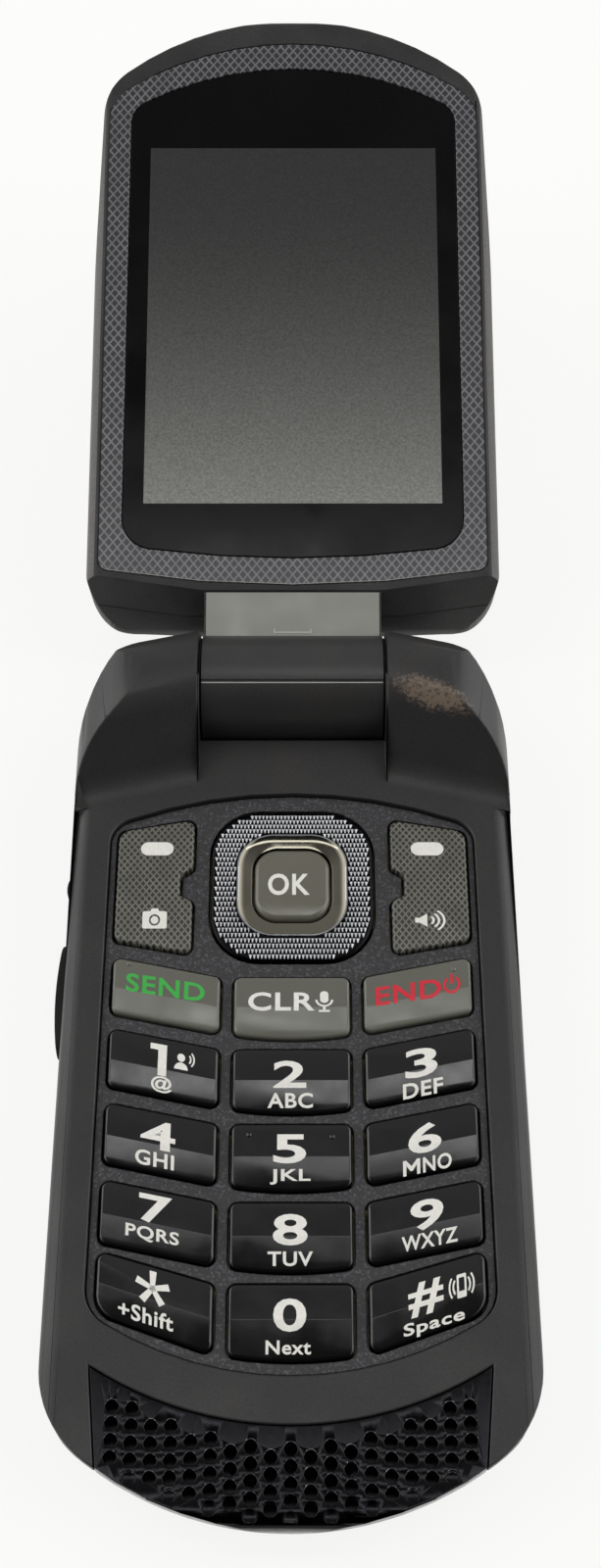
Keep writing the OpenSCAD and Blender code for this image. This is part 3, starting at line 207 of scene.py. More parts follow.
# Pieces inside that keep the CAD solids, with the finish of each
INNER = {
    "circuit_board": ["main_board", "lid_board"],
    "stamped_steel": ["shield_can", "microphone", "vibration_motor", "base_screws", "lid_screws",
                      "hinge_cartridge", "hinge_pin", "earpiece", "charger_socket"],
    "gold_plate": ["battery_contacts", "antenna"],
    "dome_film": ["dome_sheet"],
    "amber_film": ["hinge_flex"],
    "cell_wrap": ["battery"],
    "silicone": ["battery_seal", "nav_actuator"],
    "black_nylon": ["loudspeaker", "headset_jack", "camera_module", "outer_display", "display_panel"],
}


def linear(code):
    """Turns an sRGB hex value to a linear colour with alpha."""
    parts = [int(code[i:i + 2], 16) / 255 for i in (1, 3, 5)]
    return tuple(c / 12.92 if c <= 0.04045 else ((c + 0.055) / 1.055) ** 2.4 for c in parts) + (1.0,)


def length(name, description, millimetres):
    """A length that a user may change, kept in metres as the scene is."""
    return FloatProperty(name=name, description=description, default=millimetres * MM, min=0.0,
                         precision=5, subtype="DISTANCE", unit="LENGTH")


def tint(name, description, code):
    """A colour that a user may change."""
    return FloatVectorProperty(name=name, description=description, default=linear(code), size=4,
                               min=0.0, max=1.0, subtype="COLOR")


def darker(base, share):
    """A share of a linear colour."""
    return tuple(c * share for c in base[:3]) + (1.0,)


class PhoneSizes(bpy.types.PropertyGroup):
    """Sizes of the dressed pieces."""

    key_top: length("Key top", "Height of the crown of every key above the table", 11.35)
    key_foot: length("Key foot", "Height of the underside of the keys", 8.45)
    row_top: length("First row", "Hinge axis to the top of the first row of keys", 37.3)
    row_pitch: length("Row pitch", "Spacing of the rows of keys", 8.46)
    key_height: length("Key height", "Height of a middle key", 7.15)
    key_rise: length("Side rise", "How far the outer end of a side key lies nearer the hinge", 2.45)
    last_rise: length("Last rise", "The same in the last row", 3.775)
    side_key: length("Side key", "Width of a side key", 11.85)
    side_place: length("Side place", "Centre line to the middle of the side keys", 13.83)
    key_ridge: length("Key ridge", "Radius along the ridge between the two slopes of a key", 0.03)
    ok_crown: length("Confirm crown", "Radius of the crown of the confirm key", 40.0)
    nav_crown: length("Ring crown", "Radius of the crown of the ring and the soft keys", 80.0)
    key_rim: length("Key rim", "Radius along the upper rim of a key", 0.28)
    legend_lift: length("Legend lift", "Thickness of the printed legends", 0.02)
    nav_middle: length("Ring middle", "Hinge axis to the middle of the navigation ring", 25.75)
    knurl_pitch: length("Knurl pitch", "Spacing of the teeth of the ring along a row", 0.42)
    knurl_row: length("Knurl row", "Spacing of the rows of teeth", 0.63)
    lattice_wide: length("Bezel lattice width", "Width of a diamond of the bezel", 1.1)
    lattice_high: length("Bezel lattice height", "Height of a diamond of the bezel", 1.4)
    weave_wide: length("Soft key lattice width", "Width of a diamond of the soft keys", 0.75)
    weave_high: length("Soft key lattice height", "Height of a diamond of the soft keys", 0.95)
    shell_round: length("Shell edge", "Radius along the edges of the shells", 0.22)
    trim_round: length("Trim edge", "Radius along the edges of panel, grille and covers", 0.1)
    view_half: length("Picture half width", "Half the width of the display's picture", 18.4)
    view_foot: length("Picture foot", "Hinge axis to the foot of the picture", 23.9)
    view_top: length("Picture top", "Hinge axis to the top of the picture", 73.1)


class PhoneColours(bpy.types.PropertyGroup):
    """Colours of the finishes."""

    housing: tint("Housing", "Soft-touch paint of the base", "#2a2929")
    housing_rubbed: tint("Rubbed housing", "The same paint where hands have polished it", "#3a3836")
    worn_through: tint("Worn ear", "Primer that shows on the worn ear", "#93806c")
    lid: tint("Lid", "Soft-touch paint of the lid", "#2e2d2d")
    lid_rubbed: tint("Rubbed lid", "The lid's paint where hands have polished it", "#484746")
    # Paler paint for the lid's faces that face sideways: a painted sheen
    lid_rim: tint("Lid rim", "The lid's paint along its sides", "#615f5c")
    panel: tint("Keypad panel", "Grained plastic between the keys", "#2b2a2c")
    panel_speck: tint("Panel speck", "Light specks in the grain", "#525155")
    number_key: tint("Number keys", "Gloss black plastic", "#0c0c0d")
    call_key: tint("Call keys", "Gloss grey plastic", "#64645b")
    soft_ground: tint("Soft keys", "Ground between the lines", "#2a2a28")
    soft_line: tint("Soft key lines", "Lines of the woven print", "#77756a")
    ok_key: tint("Confirm key", "Satin grey plastic", "#68665a")
    plated: tint("Plating", "Silver plating of the ring", "#b9babd")
    ring_ground: tint("Ring ground", "Dark plating of the ring's rim and between its teeth", "#1d1d1e")
    ring_dish: tint("Ring dish", "Brown-grey plating of the ring's dish", "#8c887a")
    smoked: tint("Smoked chrome", "Plating of the speaker grille", "#242426")
    legend: tint("Legends", "Off-white print", "#f4f2ea")
    call_green: tint("Call legend", "Green print", "#3fb549")
    end_red: tint("End legend", "Red print", "#d8283a")
    bezel_ground: tint("Bezel", "Ground of the patterned film", "#2c2c2f")
    bezel_line: tint("Bezel lines", "Lines of the patterned film", "#77777a")
    glass: tint("Glass", "Black behind the glass", "#0b0b0c")
    # The display at its top and at its foot; between them a painted reflection makes it paler towards the
    # foot
    picture: tint("Display", "Display at its top, switched off", "#2d2d2d")
    picture_foot_reflection: tint("Display foot", "Display at its foot, switched off", "#83847f")
    neck: tint("Neck plate", "Satin grey plate on the lid's neck", "#8f8f88")
    rubber: tint("Rubber", "Elastomer of covers and side key", "#1c1c1d")
    floor: tint("Floor", "Pale studio floor", "#f7f7f6")


def size(name):
    """A size of the phone in millimetres."""
    return getattr(bpy.context.scene.phone_sizes, name) / MM


def colour(name):
    """A colour of the phone, linear with alpha."""
    return tuple(getattr(bpy.context.scene.phone_colours, name))


# Materials


def feed(node, feeds):
    """Gives a node's inputs their values, or links them to sockets or to the first outputs of other nodes."""
    for name, value in feeds.items():
        if isinstance(value, bpy.types.Node):
            value = next(socket for socket in value.outputs if not socket.is_unavailable)
        if isinstance(value, bpy.types.NodeSocket):
            node.id_data.links.new(value, node.inputs[name])
        else:
            node.inputs[name].default_value = value


def put(tree, kind, feeds, **settings):
    """Adds a node with its settings, and feeds it."""
    node = tree.nodes.new("ShaderNode" + kind)
    for name, value in settings.items():
        setattr(node, name, value)
    feed(node, feeds)
    return node


def finish(make):
    """Has a material made when its name is first asked for, and gives the same one afterwards."""
    @functools.wraps(make)
    def give(name, *choices):
        if name not in bpy.data.materials:
            make(name, *choices)
        return bpy.data.materials[name]

    return give


def new_finish(name, **sockets):
    """A new material: its tree, its shader with these sockets set, and places in the piece's own frame."""
    material = bpy.data.materials.new(name)
    material.use_nodes = True
    tree = material.node_tree
    shader = tree.nodes["Principled BSDF"]
    feed(shader, {socket.replace("_", " "): value for socket, value in sockets.items()})
    return tree, shader, put(tree, "TexCoord", {}).outputs["Object"]


@finish
def soft_touch_paint(name, base, rubbed, roughness, shine=0.25):
    """Soft-touch paint sprayed on ABS: a matt skin with a fine even grain, paler where hands rub it."""
    tree, shader, places = new_finish(name, IOR=1.5, Specular_IOR_Level=shine)
    # Grain of about 0.15 mm, drawn at 0.25 mm so that it shows, and rubbed patches of 9 mm
    grain = put(tree, "TexNoise", {"Vector": places, "Scale": 1 / (0.25 * MM), "Detail": 2.0})
    rub = put(tree, "TexNoise", {"Vector": places, "Scale": 1 / (9 * MM), "Detail": 3.0})
    share = put(tree, "MapRange", {"Value": rub, "From Min": 0.42, "From Max": 0.75, "To Max": 0.5})
    mixed = put(tree, "Mix", {"Factor": share, "A": base, "B": rubbed}, data_type="RGBA")
    speck = put(tree, "MapRange", {"Value": grain, "From Min": 0.3, "From Max": 0.7,
                                   "To Min": 0.82, "To Max": 1.18})
    shade = put(tree, "Mix", {"Factor": 1.0, "A": mixed, "B": speck}, data_type="RGBA", blend_type="MULTIPLY")
    rough = put(tree, "MapRange", {"Value": rub, "To Min": roughness + 0.08, "To Max": roughness - 0.1})
    bump = put(tree, "Bump", {"Height": grain, "Strength": 0.25, "Distance": 0.05 * MM})
    feed(shader, {"Base Color": shade, "Roughness": rough, "Normal": bump})


@finish
def worn_housing_paint(name):
    """Soft-touch paint of the base, worn through in specks along the crest of the right hinge ear."""
    tree = soft_touch_paint(name, colour("housing"), colour("housing_rubbed"), 0.42, 0.4).node_tree
    shader = tree.nodes["Principled BSDF"]
    places = next(node for node in tree.nodes if node.type == "TEX_COORD").outputs["Object"]
    painted = shader.inputs["Base Color"].links[0].from_socket
    crest = put(tree, "Mapping", {"Vector": places, "Location": WORN_MIDDLE * MM, "Scale": WORN_REACH * MM,
                                  "Rotation": (0, 0, WORN_TURN)}, vector_type="TEXTURE")
    away = put(tree, "VectorMath", {0: crest}, operation="LENGTH")
    near = put(tree, "MapRange", {"Value": away, "From Min": 0.3, "From Max": 1.3,
                                  "To Min": 1.0, "To Max": 0.0})
    # Chips of 0.45 mm
    chips = put(tree, "TexNoise", {"Vector": places, "Scale": 1 / (0.45 * MM), "Detail": 6.0,
                                   "Roughness": 0.8})
    spread = put(tree, "Math", {0: chips, 1: near}, operation="MULTIPLY")
    share = put(tree, "MapRange", {"Value": spread, "From Min": 0.38, "From Max": 0.5, "To Max": 0.5})
    mixed = put(tree, "Mix", {"Factor": share, "A": painted, "B": colour("worn_through")}, data_type="RGBA")
    feed(shader, {"Base Color": mixed})


@finish
def grained_plastic(name):
    """Spark-eroded ABS of the keypad panel: satin, with light specks where the grain's tips shine."""
    tree, shader, places = new_finish(name, IOR=1.5, Roughness=0.5)
    # Grain of 0.3 mm
    grain = put(tree, "TexNoise", {"Vector": places, "Scale": 1 / (0.3 * MM), "Detail": 2.0})
    share = put(tree, "MapRange", {"Value": grain, "From Min": 0.52, "From Max": 0.7})
    mixed = put(tree, "Mix", {"Factor": share, "A": colour("panel"), "B": colour("panel_speck")},
                data_type="RGBA")
    bump = put(tree, "Bump", {"Height": grain, "Strength": 0.5, "Distance": 0.06 * MM})
    feed(shader, {"Base Color": mixed, "Normal": bump})


@finish
def gloss_plastic(name, base, roughness):
    """Polished polycarbonate: deep colour under a clear gloss, slightly dulled in patches by fingers."""
    tree, shader, places = new_finish(name, IOR=1.58)
    # Finger smears of 4 mm
    smear = put(tree, "TexNoise", {"Vector": places, "Scale": 1 / (4 * MM), "Detail": 4.0})
    rough = put(tree, "MapRange", {"Value": smear, "From Min": 0.3, "From Max": 0.75,
                                   "To Min": roughness * 0.7, "To Max": roughness * 1.5})
    tone = put(tree, "Mix", {"Factor": smear, "A": base, "B": darker(base, 0.85)}, data_type="RGBA")
    feed(shader, {"Base Color": tone, "Roughness": rough})


@finish
def lattice_film(name, ground, line, wide, high, share, roughness):
    """Film printed with a lattice of fine diamonds, under clear gloss plastic."""
    tree, shader, places = new_finish(name, IOR=1.5, Roughness=roughness, Coat_Weight=0.12,
                                      Coat_Roughness=0.2)
    split = put(tree, "SeparateXYZ", {"Vector": places})
    across = put(tree, "Math", {0: split.outputs["X"], 1: 1 / (wide * MM)}, operation="MULTIPLY")
    along = put(tree, "Math", {0: split.outputs["Y"], 1: 1 / (high * MM)}, operation="MULTIPLY")
    # Distance from the nearest rising and the nearest falling line, in diamonds
    slants = [put(tree, "Math", {0: across, 1: along}, operation=kind) for kind in ("ADD", "SUBTRACT")]
    rising, falling = [put(tree, "Math", {0: slant, 1: 0.5}, operation="PINGPONG") for slant in slants]
    near = put(tree, "Math", {0: rising, 1: falling}, operation="MINIMUM")
    drawn_line = put(tree, "MapRange", {"Value": near, "From Min": share * 0.5, "From Max": share,
                                        "To Min": 1.0, "To Max": 0.0})
    # The ink is uneven over about 2 mm
    ink = put(tree, "TexNoise", {"Vector": places, "Scale": 1 / (2 * MM), "Detail": 2.0})
    uneven = put(tree, "MapRange", {"Value": ink, "From Min": 0.3, "From Max": 0.7,
                                    "To Min": 0.65, "To Max": 1.0})
    shown = put(tree, "Math", {0: drawn_line, 1: uneven}, operation="MULTIPLY")
    mixed = put(tree, "Mix", {"Factor": shown, "A": ground, "B": line}, data_type="RGBA")
    bump = put(tree, "Bump", {"Height": drawn_line, "Strength": 0.2, "Distance": 0.04 * MM})
    feed(shader, {"Base Color": mixed, "Normal": bump})


@finish
def printed_ink(name, base):
    """Screen-printed ink: flat opaque colour with a faint unevenness, slightly satin."""
    tree, shader, places = new_finish(name, IOR=1.5, Roughness=0.4)
    # Mottle of 0.5 mm
    mottle = put(tree, "TexNoise", {"Vector": places, "Scale": 1 / (0.5 * MM), "Detail": 2.0})
    tone = put(tree, "Mix", {"Factor": mottle, "A": base, "B": darker(base, 0.8)}, data_type="RGBA")
    feed(shader, {"Base Color": tone})


@finish
def plated_plastic(name, base, roughness):
    """Chrome plating on moulded plastic: a mirror that faint waves and fine rubbing soften."""
    tree, shader, places = new_finish(name, Metallic=1.0)
    # Rubbing of 0.8 mm, waves of 5 mm
    rubbing = put(tree, "TexNoise", {"Vector": places, "Scale": 1 / (0.8 * MM), "Detail": 5.0})
    waves = put(tree, "TexNoise", {"Vector": places, "Scale": 1 / (5 * MM), "Detail": 1.0})
    rough = put(tree, "MapRange", {"Value": rubbing, "From Min": 0.3, "From Max": 0.7,
                                   "To Min": roughness * 0.7, "To Max": roughness * 1.3})
    bump = put(tree, "Bump", {"Height": waves, "Strength": 0.1, "Distance": 0.1 * MM})
    tone = put(tree, "Mix", {"Factor": waves, "A": base, "B": darker(base, 0.75)}, data_type="RGBA")
    feed(shader, {"Base Color": tone, "Roughness": rough, "Normal": bump})


@finish
def polished_glass(name, base, roughness):
    """Bloomed mineral glass, black behind: a dim mirror with a trace of dust and finger grease."""
    tree, shader, places = new_finish(name, IOR=1.52, Specular_IOR_Level=0.12)
    # Dust of 0.2 mm over grease patches of 10 mm
    dust = put(tree, "TexNoise", {"Vector": places, "Scale": 1 / (0.2 * MM), "Detail": 3.0})
    grease = put(tree, "TexNoise", {"Vector": places, "Scale": 1 / (10 * MM), "Detail": 3.0})
    share = put(tree, "MapRange", {"Value": dust, "From Min": 0.66, "From Max": 0.8, "To Max": 0.12})
    tone = put(tree, "Mix", {"Factor": share, "A": base, "B": linear("#6a6a6a")}, data_type="RGBA")
    rough = put(tree, "MapRange", {"Value": grease, "From Min": 0.3, "From Max": 0.7,
                                   "To Min": roughness * 0.6, "To Max": roughness * 1.6})
    feed(shader, {"Base Color": tone, "Roughness": rough})


@finish
def display_off(name):
    """Switched-off display under its polariser: satin grey with a fine mottle, and a painted reflection that
    makes it paler towards its foot.
    """
    tree, shader, places = new_finish(name, IOR=1.5, Roughness=0.4, Specular_IOR_Level=0.3)
    split = put(tree, "SeparateXYZ", {"Vector": places})
    # Painted reflection: the colour pales from the top of the picture to its foot
    top, foot = [HINGE.y + size(end) * MM * math.cos(LEAN) for end in ("view_top", "view_foot")]
    rise = put(tree, "MapRange", {"Value": split.outputs["Y"], "From Min": top, "From Max": foot})
    share = put(tree, "Math", {0: rise, 1: 2.4}, operation="POWER")
    pale = put(tree, "Mix", {"Factor": share, "A": colour("picture"), "B": colour("picture_foot_reflection")},
               data_type="RGBA")
    # Pixels of 0.15 mm, drawn at 0.3 mm so that they show
    mottle = put(tree, "TexNoise", {"Vector": places, "Scale": 1 / (0.3 * MM), "Detail": 2.0})
    speck = put(tree, "MapRange", {"Value": mottle, "From Min": 0.3, "From Max": 0.7,
                                   "To Min": 0.75, "To Max": 1.25})
    tone = put(tree, "Mix", {"Factor": 1.0, "A": pale, "B": speck}, data_type="RGBA", blend_type="MULTIPLY")
    feed(shader, {"Base Color": tone})


@finish
def moulded_finish(name, code, roughness, metallic, grain):
    """Moulded, stamped or rolled stock for the pieces inside: even colour, with a grain in millimetres."""
    tree, shader, places = new_finish(name, Metallic=metallic)
    texture = put(tree, "TexNoise", {"Vector": places, "Scale": 1 / (grain * MM), "Detail": 3.0})
    rough = put(tree, "MapRange", {"Value": texture, "To Min": roughness - 0.1, "To Max": roughness + 0.1})
    bump = put(tree, "Bump", {"Height": texture, "Strength": 0.1, "Distance": 0.05 * MM})
    base = linear(code)
    tone = put(tree, "Mix", {"Factor": texture, "A": base, "B": darker(base, 0.7)}, data_type="RGBA")
    feed(shader, {"Base Color": tone, "Roughness": rough, "Normal": bump})


def white_ink():
    """Off-white ink of the legends."""
    return printed_ink("off_white_ink", colour("legend"))


def grey_ink():
    """Pale grey ink of fine printed marks, also laid on edges as a painted highlight."""
    return printed_ink("grey_ink", linear("#b4b5ae"))


def lid_paint():
    """Soft-touch paint of the lid."""
    return soft_touch_paint("lid_paint", colour("lid"), colour("lid_rubbed"), 0.5)


def elastomer():
    """Black rubber, with the same matt skin as the paint."""
    return soft_touch_paint("elastomer", colour("rubber"), colour("housing"), 0.7)


def black_glass():
    """Glass of the lid's windows."""
    return polished_glass("black_glass", colour("glass"), 0.16)


# Shapes


def arc(cx, cy, radius, start, end, steps):
    """Points on an arc, angles in degrees."""
    angles = [math.radians(start + (end - start) * k / steps) for k in range(steps + 1)]
    return [(cx + radius * math.cos(a), cy + radius * math.sin(a)) for a in angles]


def round_box(cx, cy, half_w, half_h, radius, steps=8):
    """Anticlockwise outline of a box with round corners."""
    x, y = half_w - radius, half_h - radius
    corners = [(x, y, 0), (-x, y, 90), (-x, -y, 180), (x, -y, 270)]
    return [p for dx, dy, a in corners for p in arc(cx + dx, cy + dy, radius, a, a + 90, steps)]


def from_box(x, y, half_w, half_h, radius):
    """Distance of a point outside a box with round corners about the origin; negative inside."""
    dx, dy = abs(x) - half_w + radius, abs(y) - half_h + radius
    return math.hypot(max(dx, 0), max(dy, 0)) + min(max(dx, dy), 0) - radius


def inset(outline, by):
    """The anticlockwise outline drawn in by a distance."""
    points = []
    for i, (x, y) in enumerate(outline):
        before = Vector((x, y)) - Vector(outline[i - 1])
        after = Vector(outline[(i + 1) % len(outline)]) - Vector((x, y))
        before.normalize()
        after.normalize()
        inward = Vector((-before.y - after.y, before.x + after.x))
        inward.normalize()
        lean = max(inward.dot(Vector((-after.y, after.x))), 0.3)
        points.append((x + inward.x * by / lean, y + inward.y * by / lean))
    return points


def rounded(corners, radii):
    """Anticlockwise polygon with each corner rounded by its radius."""
    points = []
    for i, corner in enumerate(corners):
        here = Vector(corner)
        back = (Vector(corners[i - 1]) - here).normalized()
        ahead = (Vector(corners[(i + 1) % len(corners)]) - here).normalized()
        half = back.angle(ahead) / 2
        reach = radii[i] / math.tan(half)
        middle = here + (back + ahead).normalized() * radii[i] / math.sin(half)
        first, last = here + back * reach - middle, here + ahead * reach - middle
        turn = first.angle_signed(last)
        for k in range(7):
            spoke = first.copy()
            spoke.rotate(Matrix.Rotation(-turn * k / 6, 2))
            points.append(tuple(middle + spoke))
    return points


def top_outline(node, height):
    """Anticlockwise hull, from the hinge axis, of what a key's CAD node has above a height."""
    mesh = frame["nodes"][node].data
    points = sorted({(round(v.co.x / MM, 3), round((v.co.y - HINGE.y) / MM, 3))
                     for v in mesh.vertices if v.co.z / MM > height})
    hull = []
    for run in (points, points[::-1]):
        start = len(hull)
        for p in run:
            while len(hull) >= start + 2:
                a, b = hull[-2], hull[-1]
                if (b[0] - a[0]) * (p[1] - a[1]) - (b[1] - a[1]) * (p[0] - a[0]) > 1e-4:
                    break
                hull.pop()
            hull.append(p)
        hull.pop()
    return hull


def stack(bm, loops, close=True):
    """Walls between loops of equal count; gives the vertices of the last loop."""
    rows = [[bm.verts.new(p) for p in loop] for loop in loops]
    for low, high in zip(rows, rows[1:]):
        for i in range(len(low) if close else len(low) - 1):
            j = (i + 1) % len(low)
            bm.faces.new((low[i], low[j], high[j], high[i]))
    return rows[-1]


class Crown:
    """The top of a key: a line across it, turned about the vertical, and its height away from that line."""

    def __init__(self, x, y, turn, profile, cuts):
        self.middle = Vector((x, y, 0))
        self.way = Vector((-math.sin(turn), math.cos(turn), 0))
        self.profile = profile
        self.cuts = cuts

    def height(self, x, y):
        """Height over a place of the key."""
        return self.profile((Vector((x, y, 0)) - self.middle).dot(self.way))

    def drape(self, bm, faces, lift):
        """Cuts flat faces along the crown's lines and lays them on it."""
        for away in self.cuts:
            verts = {v for f in faces for v in f.verts}
            edges = {e for f in faces for e in f.edges}
            geometry = [*verts, *edges, *faces]
            cut = bmesh.ops.bisect_plane(bm, geom=geometry, dist=1e-5, plane_co=self.middle + self.way * away,
                                         plane_no=self.way)
            faces = [f for f in cut["geom"] if isinstance(f, bmesh.types.BMFace)]
        for v in {v for f in faces for v in f.verts}:
            v.co.z = self.height(v.co.x, v.co.y) + lift


def pillow(outline, foot, crown, rim):
    """A moulded key: straight walls, a round rim and a top that follows the crown."""
    bm = bmesh.new()
    loops = [[(x, y, foot) for x, y in outline]]
    for k in range(5):
        turn = math.pi / 8 * k
        ring = inset(outline, rim * (1 - math.cos(turn)))
        loops.append([(x, y, crown.height(x, y) - rim * (1 - math.sin(turn))) for x, y in ring])
    last = stack(bm, loops)
    crown.drape(bm, [bm.faces.new(last)], 0)
    return bm


def add_mesh(bm, other, material_index):
    """Joins another bmesh to this one as faces of one material, and frees it."""
    for face in other.faces:
        face.material_index = material_index
    scratch = bpy.data.meshes.new("scratch")
    other.to_mesh(scratch)
    other.free()
    bm.from_mesh(scratch)
    bpy.data.meshes.remove(scratch)


def dome(bm, x, y, z, radius, height):
    """A raised dot."""
    loops = []
    for k in range(4):
        turn = math.pi / 8 * k
        ring = arc(x, y, radius * math.cos(turn), 0, 337.5, 15)
        loops.append([(px, py, z + height * math.sin(turn)) for px, py in ring])
    bm.faces.new(stack(bm, loops))


def written(word):
    """A word in the built-in sans, made bold, as a flat bmesh."""
    curve = bpy.data.curves.new("word", "FONT")
    curve.body = word
    curve.offset = 0.022
    curve.space_character = 1.08
    curve.resolution_u = 4
    holder = bpy.data.objects.new("word", curve)
    bpy.context.scene.collection.objects.link(holder)
    bpy.context.view_layer.update()
    mesh = bpy.data.meshes.new_from_object(holder.evaluated_get(bpy.context.evaluated_depsgraph_get()))
    bm = bmesh.new()
    bm.from_mesh(mesh)
    bpy.data.objects.remove(holder)
    bpy.data.curves.remove(curve)
    bpy.data.meshes.remove(mesh)
    return bm


def band(cx, cy, outer, inner, start, end, steps=14):
    """A ring or part of one, as a list of four-cornered outlines."""
    far = arc(cx, cy, outer, start, end, steps)
    near = arc(cx, cy, inner, start, end, steps)
    return [[near[i], far[i], far[i + 1], near[i + 1]] for i in range(steps)]


def frame_band(outer, inner):
    """The strip between two outlines of equal count."""
    count = len(outer)
    return [[inner[i], outer[i], outer[(i + 1) % count], inner[(i + 1) % count]] for i in range(count)]


def drawn(icon):
    """An icon as a flat bmesh made of outlines."""
    box = [(-0.5, -0.5), (0.5, -0.5), (0.5, 0.5), (-0.5, 0.5)]
    if icon == "bar":
        shapes = [round_box(0, 0, 1.9, 0.9, 0.88)]
    elif icon == "one":
        shapes = [[(-0.3, -1.0), (0.3, -1.0), (0.3, 1.0), (-0.3, 1.0)],
                  [(-0.3, 0.62), (-0.3, 1.0), (-0.85, 1.0), (-0.85, 0.62)]]
    elif icon == "em":
        slope = [(-0.62, 1.0), (-0.62, 0.35), (-0.15, -0.45), (0.0, -0.45), (0.0, 0.15)]
        shapes = [[(-1.0, -1.0), (-0.62, -1.0), (-0.62, 1.0), (-1.0, 1.0)], slope]
        shapes += [[(-x, y) for x, y in shape] for shape in shapes]
    elif icon == "power":
        shapes = band(0, 0, 1.0, 0.7, 125, 415, 24) + [[(x * 0.3, y * 1.1 + 0.65) for x, y in box]]
    elif icon == "microphone":
        shapes = [round_box(0, 0.5, 0.42, 0.75, 0.41)] + band(0, 0.15, 0.9, 0.68, 180, 360)
        shapes += [[(x * 0.26, y * 0.5 - 0.95) for x, y in box], [(x * 1.1, y * 0.24 - 1.25) for x, y in box]]
    elif icon == "camera":
        lens = arc(0, -0.02, 0.62, 0, 350, 35)
        shapes = frame_band(round_box(0, 0, 1.35, 0.95, 0.25), lens)
        shapes += [arc(0, -0.02, 0.42, 0, 345, 23), [(-0.5, 0.95), (0.5, 0.95), (0.35, 1.25), (-0.35, 1.25)]]
    elif icon == "loudspeaker":
        shapes = [[(-1.7, -0.4), (-1.2, -0.4), (-0.35, -1.1), (-0.35, 1.1), (-1.2, 0.4), (-1.7, 0.4)]]
        shapes += band(-0.5, 0, 0.98, 0.72, -45, 45) + band(-0.5, 0, 1.58, 1.32, -48, 48)
        shapes += band(-0.5, 0, 2.18, 1.92, -50, 50)
    elif icon == "voice":
        shapes = [arc(-0.35, 0.45, 0.45, 0, 340, 17), arc(-0.35, -0.85, 0.78, 0, 180, 12)]
        shapes += band(0.1, 0.4, 0.72, 0.54, -42, 42) + band(0.1, 0.4, 1.1, 0.92, -45, 45)
    elif icon == "vibrate":
        shapes = frame_band(round_box(0, 0, 0.5, 0.95, 0.12), round_box(0, 0.12, 0.3, 0.55, 0.05))
        shapes += band(0, 0, 0.98, 0.8, -38, 38) + band(0, 0, 1.38, 1.2, -38, 38)
        shapes += band(0, 0, 0.98, 0.8, 142, 218) + band(0, 0, 1.38, 1.2, 142, 218)
    else:
        shapes = []
        for k in range(5):
            turn = Matrix.Rotation(math.radians(90 + 72 * k), 2)
            arm = [(0, -0.13), (0.98, -0.2), (0.98, 0.2), (0, 0.13)]
            shapes.append([tuple(turn @ Vector(p)) for p in arm])
    bm = bmesh.new()
    for shape in shapes:
        bm.faces.new([bm.verts.new((x, y, 0)) for x, y in shape])
    return bm


ICONS = ("bar", "one", "em", "power", "microphone", "camera", "loudspeaker", "voice", "vibrate", "star")


def print_legends(bm, key, turn, crown):
    """Lays the legends of a key on its crown, slanted with the key; they are the key's second material."""
    for what, x, y, width, height in LEGENDS[key]:
        flat = drawn(what) if what in ICONS else written(what)
        xs = [v.co.x for v in flat.verts]
        ys = [v.co.y for v in flat.verts]
        middle = Vector(((min(xs) + max(xs)) / 2, (min(ys) + max(ys)) / 2, 0))
        scale = Matrix.Diagonal((width / (max(xs) - min(xs)), height / (max(ys) - min(ys)), 1, 1))
        slant = Matrix.Identity(4)
        slant[1][0] = math.tan(turn)
        place = Matrix.Translation((x, y, 0)) @ slant @ scale
        bmesh.ops.transform(flat, matrix=place @ Matrix.Translation(-middle), verts=flat.verts)
        crown.drape(flat, list(flat.faces), size("legend_lift"))
        for face in flat.faces:
            if face.normal.z < 0:
                face.normal_flip()
        add_mesh(bm, flat, 1)


# Pieces


def new_piece(name, bm, place, body, nodes, finishes, smooth=40):
    """Makes a piece from a bmesh drawn in millimetres, puts it on its body and in place of its CAD nodes."""
    mesh = bpy.data.meshes.new(name)
    bm.normal_update()
    bm.to_mesh(mesh)
    bm.free()
    mesh.transform(place @ Matrix.Diagonal((MM, MM, MM, 1)))
    for material in finishes:
        mesh.materials.append(material)
    mesh.polygons.foreach_set("use_smooth", [True] * len(mesh.polygons))
    mesh.set_sharp_from_angle(angle=math.radians(smooth))
    piece = bpy.data.objects.new(name, mesh)
    bpy.context.scene.collection.objects.link(piece)
    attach(piece, body)
    if nodes:
        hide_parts(*nodes)
    return piece


def cad_shape(node, place):
    """The shape of a CAD node as a bmesh in the drawing of its half of the phone."""
    bm = bmesh.new()
    bm.from_mesh(frame["nodes"][node].data)
    bm.transform(Matrix.Diagonal((1 / MM, 1 / MM, 1 / MM, 1)) @ place.inverted())
    return bm


def skin(node, place, edge, flat=0.5):
    """The shape of a CAD node with its sharp edges rounded, inside the same box."""
    bm = cad_shape(node, place)
    bmesh.ops.remove_doubles(bm, verts=bm.verts, dist=0.002)
    bmesh.ops.dissolve_limit(bm, angle_limit=math.radians(flat), verts=bm.verts, edges=bm.edges)
    solid = BVHTree.FromBMesh(bm)
    low = [min(v.co[k] for v in bm.verts) for k in range(3)]
    high = [max(v.co[k] for v in bm.verts) for k in range(3)]
    sharp = [e for e in bm.edges if e.is_manifold and e.calc_face_angle(0) > SHARP]
    bmesh.ops.bevel(bm, geom=sharp, offset=edge, segments=2, profile=0.5, affect="EDGES",
                    clamp_overlap=False, loop_slide=True)
    for vert in bm.verts:
        nearest, _, _, away = solid.find_nearest(vert.co)
        if away > 0.6 * edge:
            vert.co = nearest
        vert.co = [min(max(vert.co[k], low[k]), high[k]) for k in range(3)]
    bmesh.ops.connect_verts_concave(bm, faces=bm.faces)
    return bm


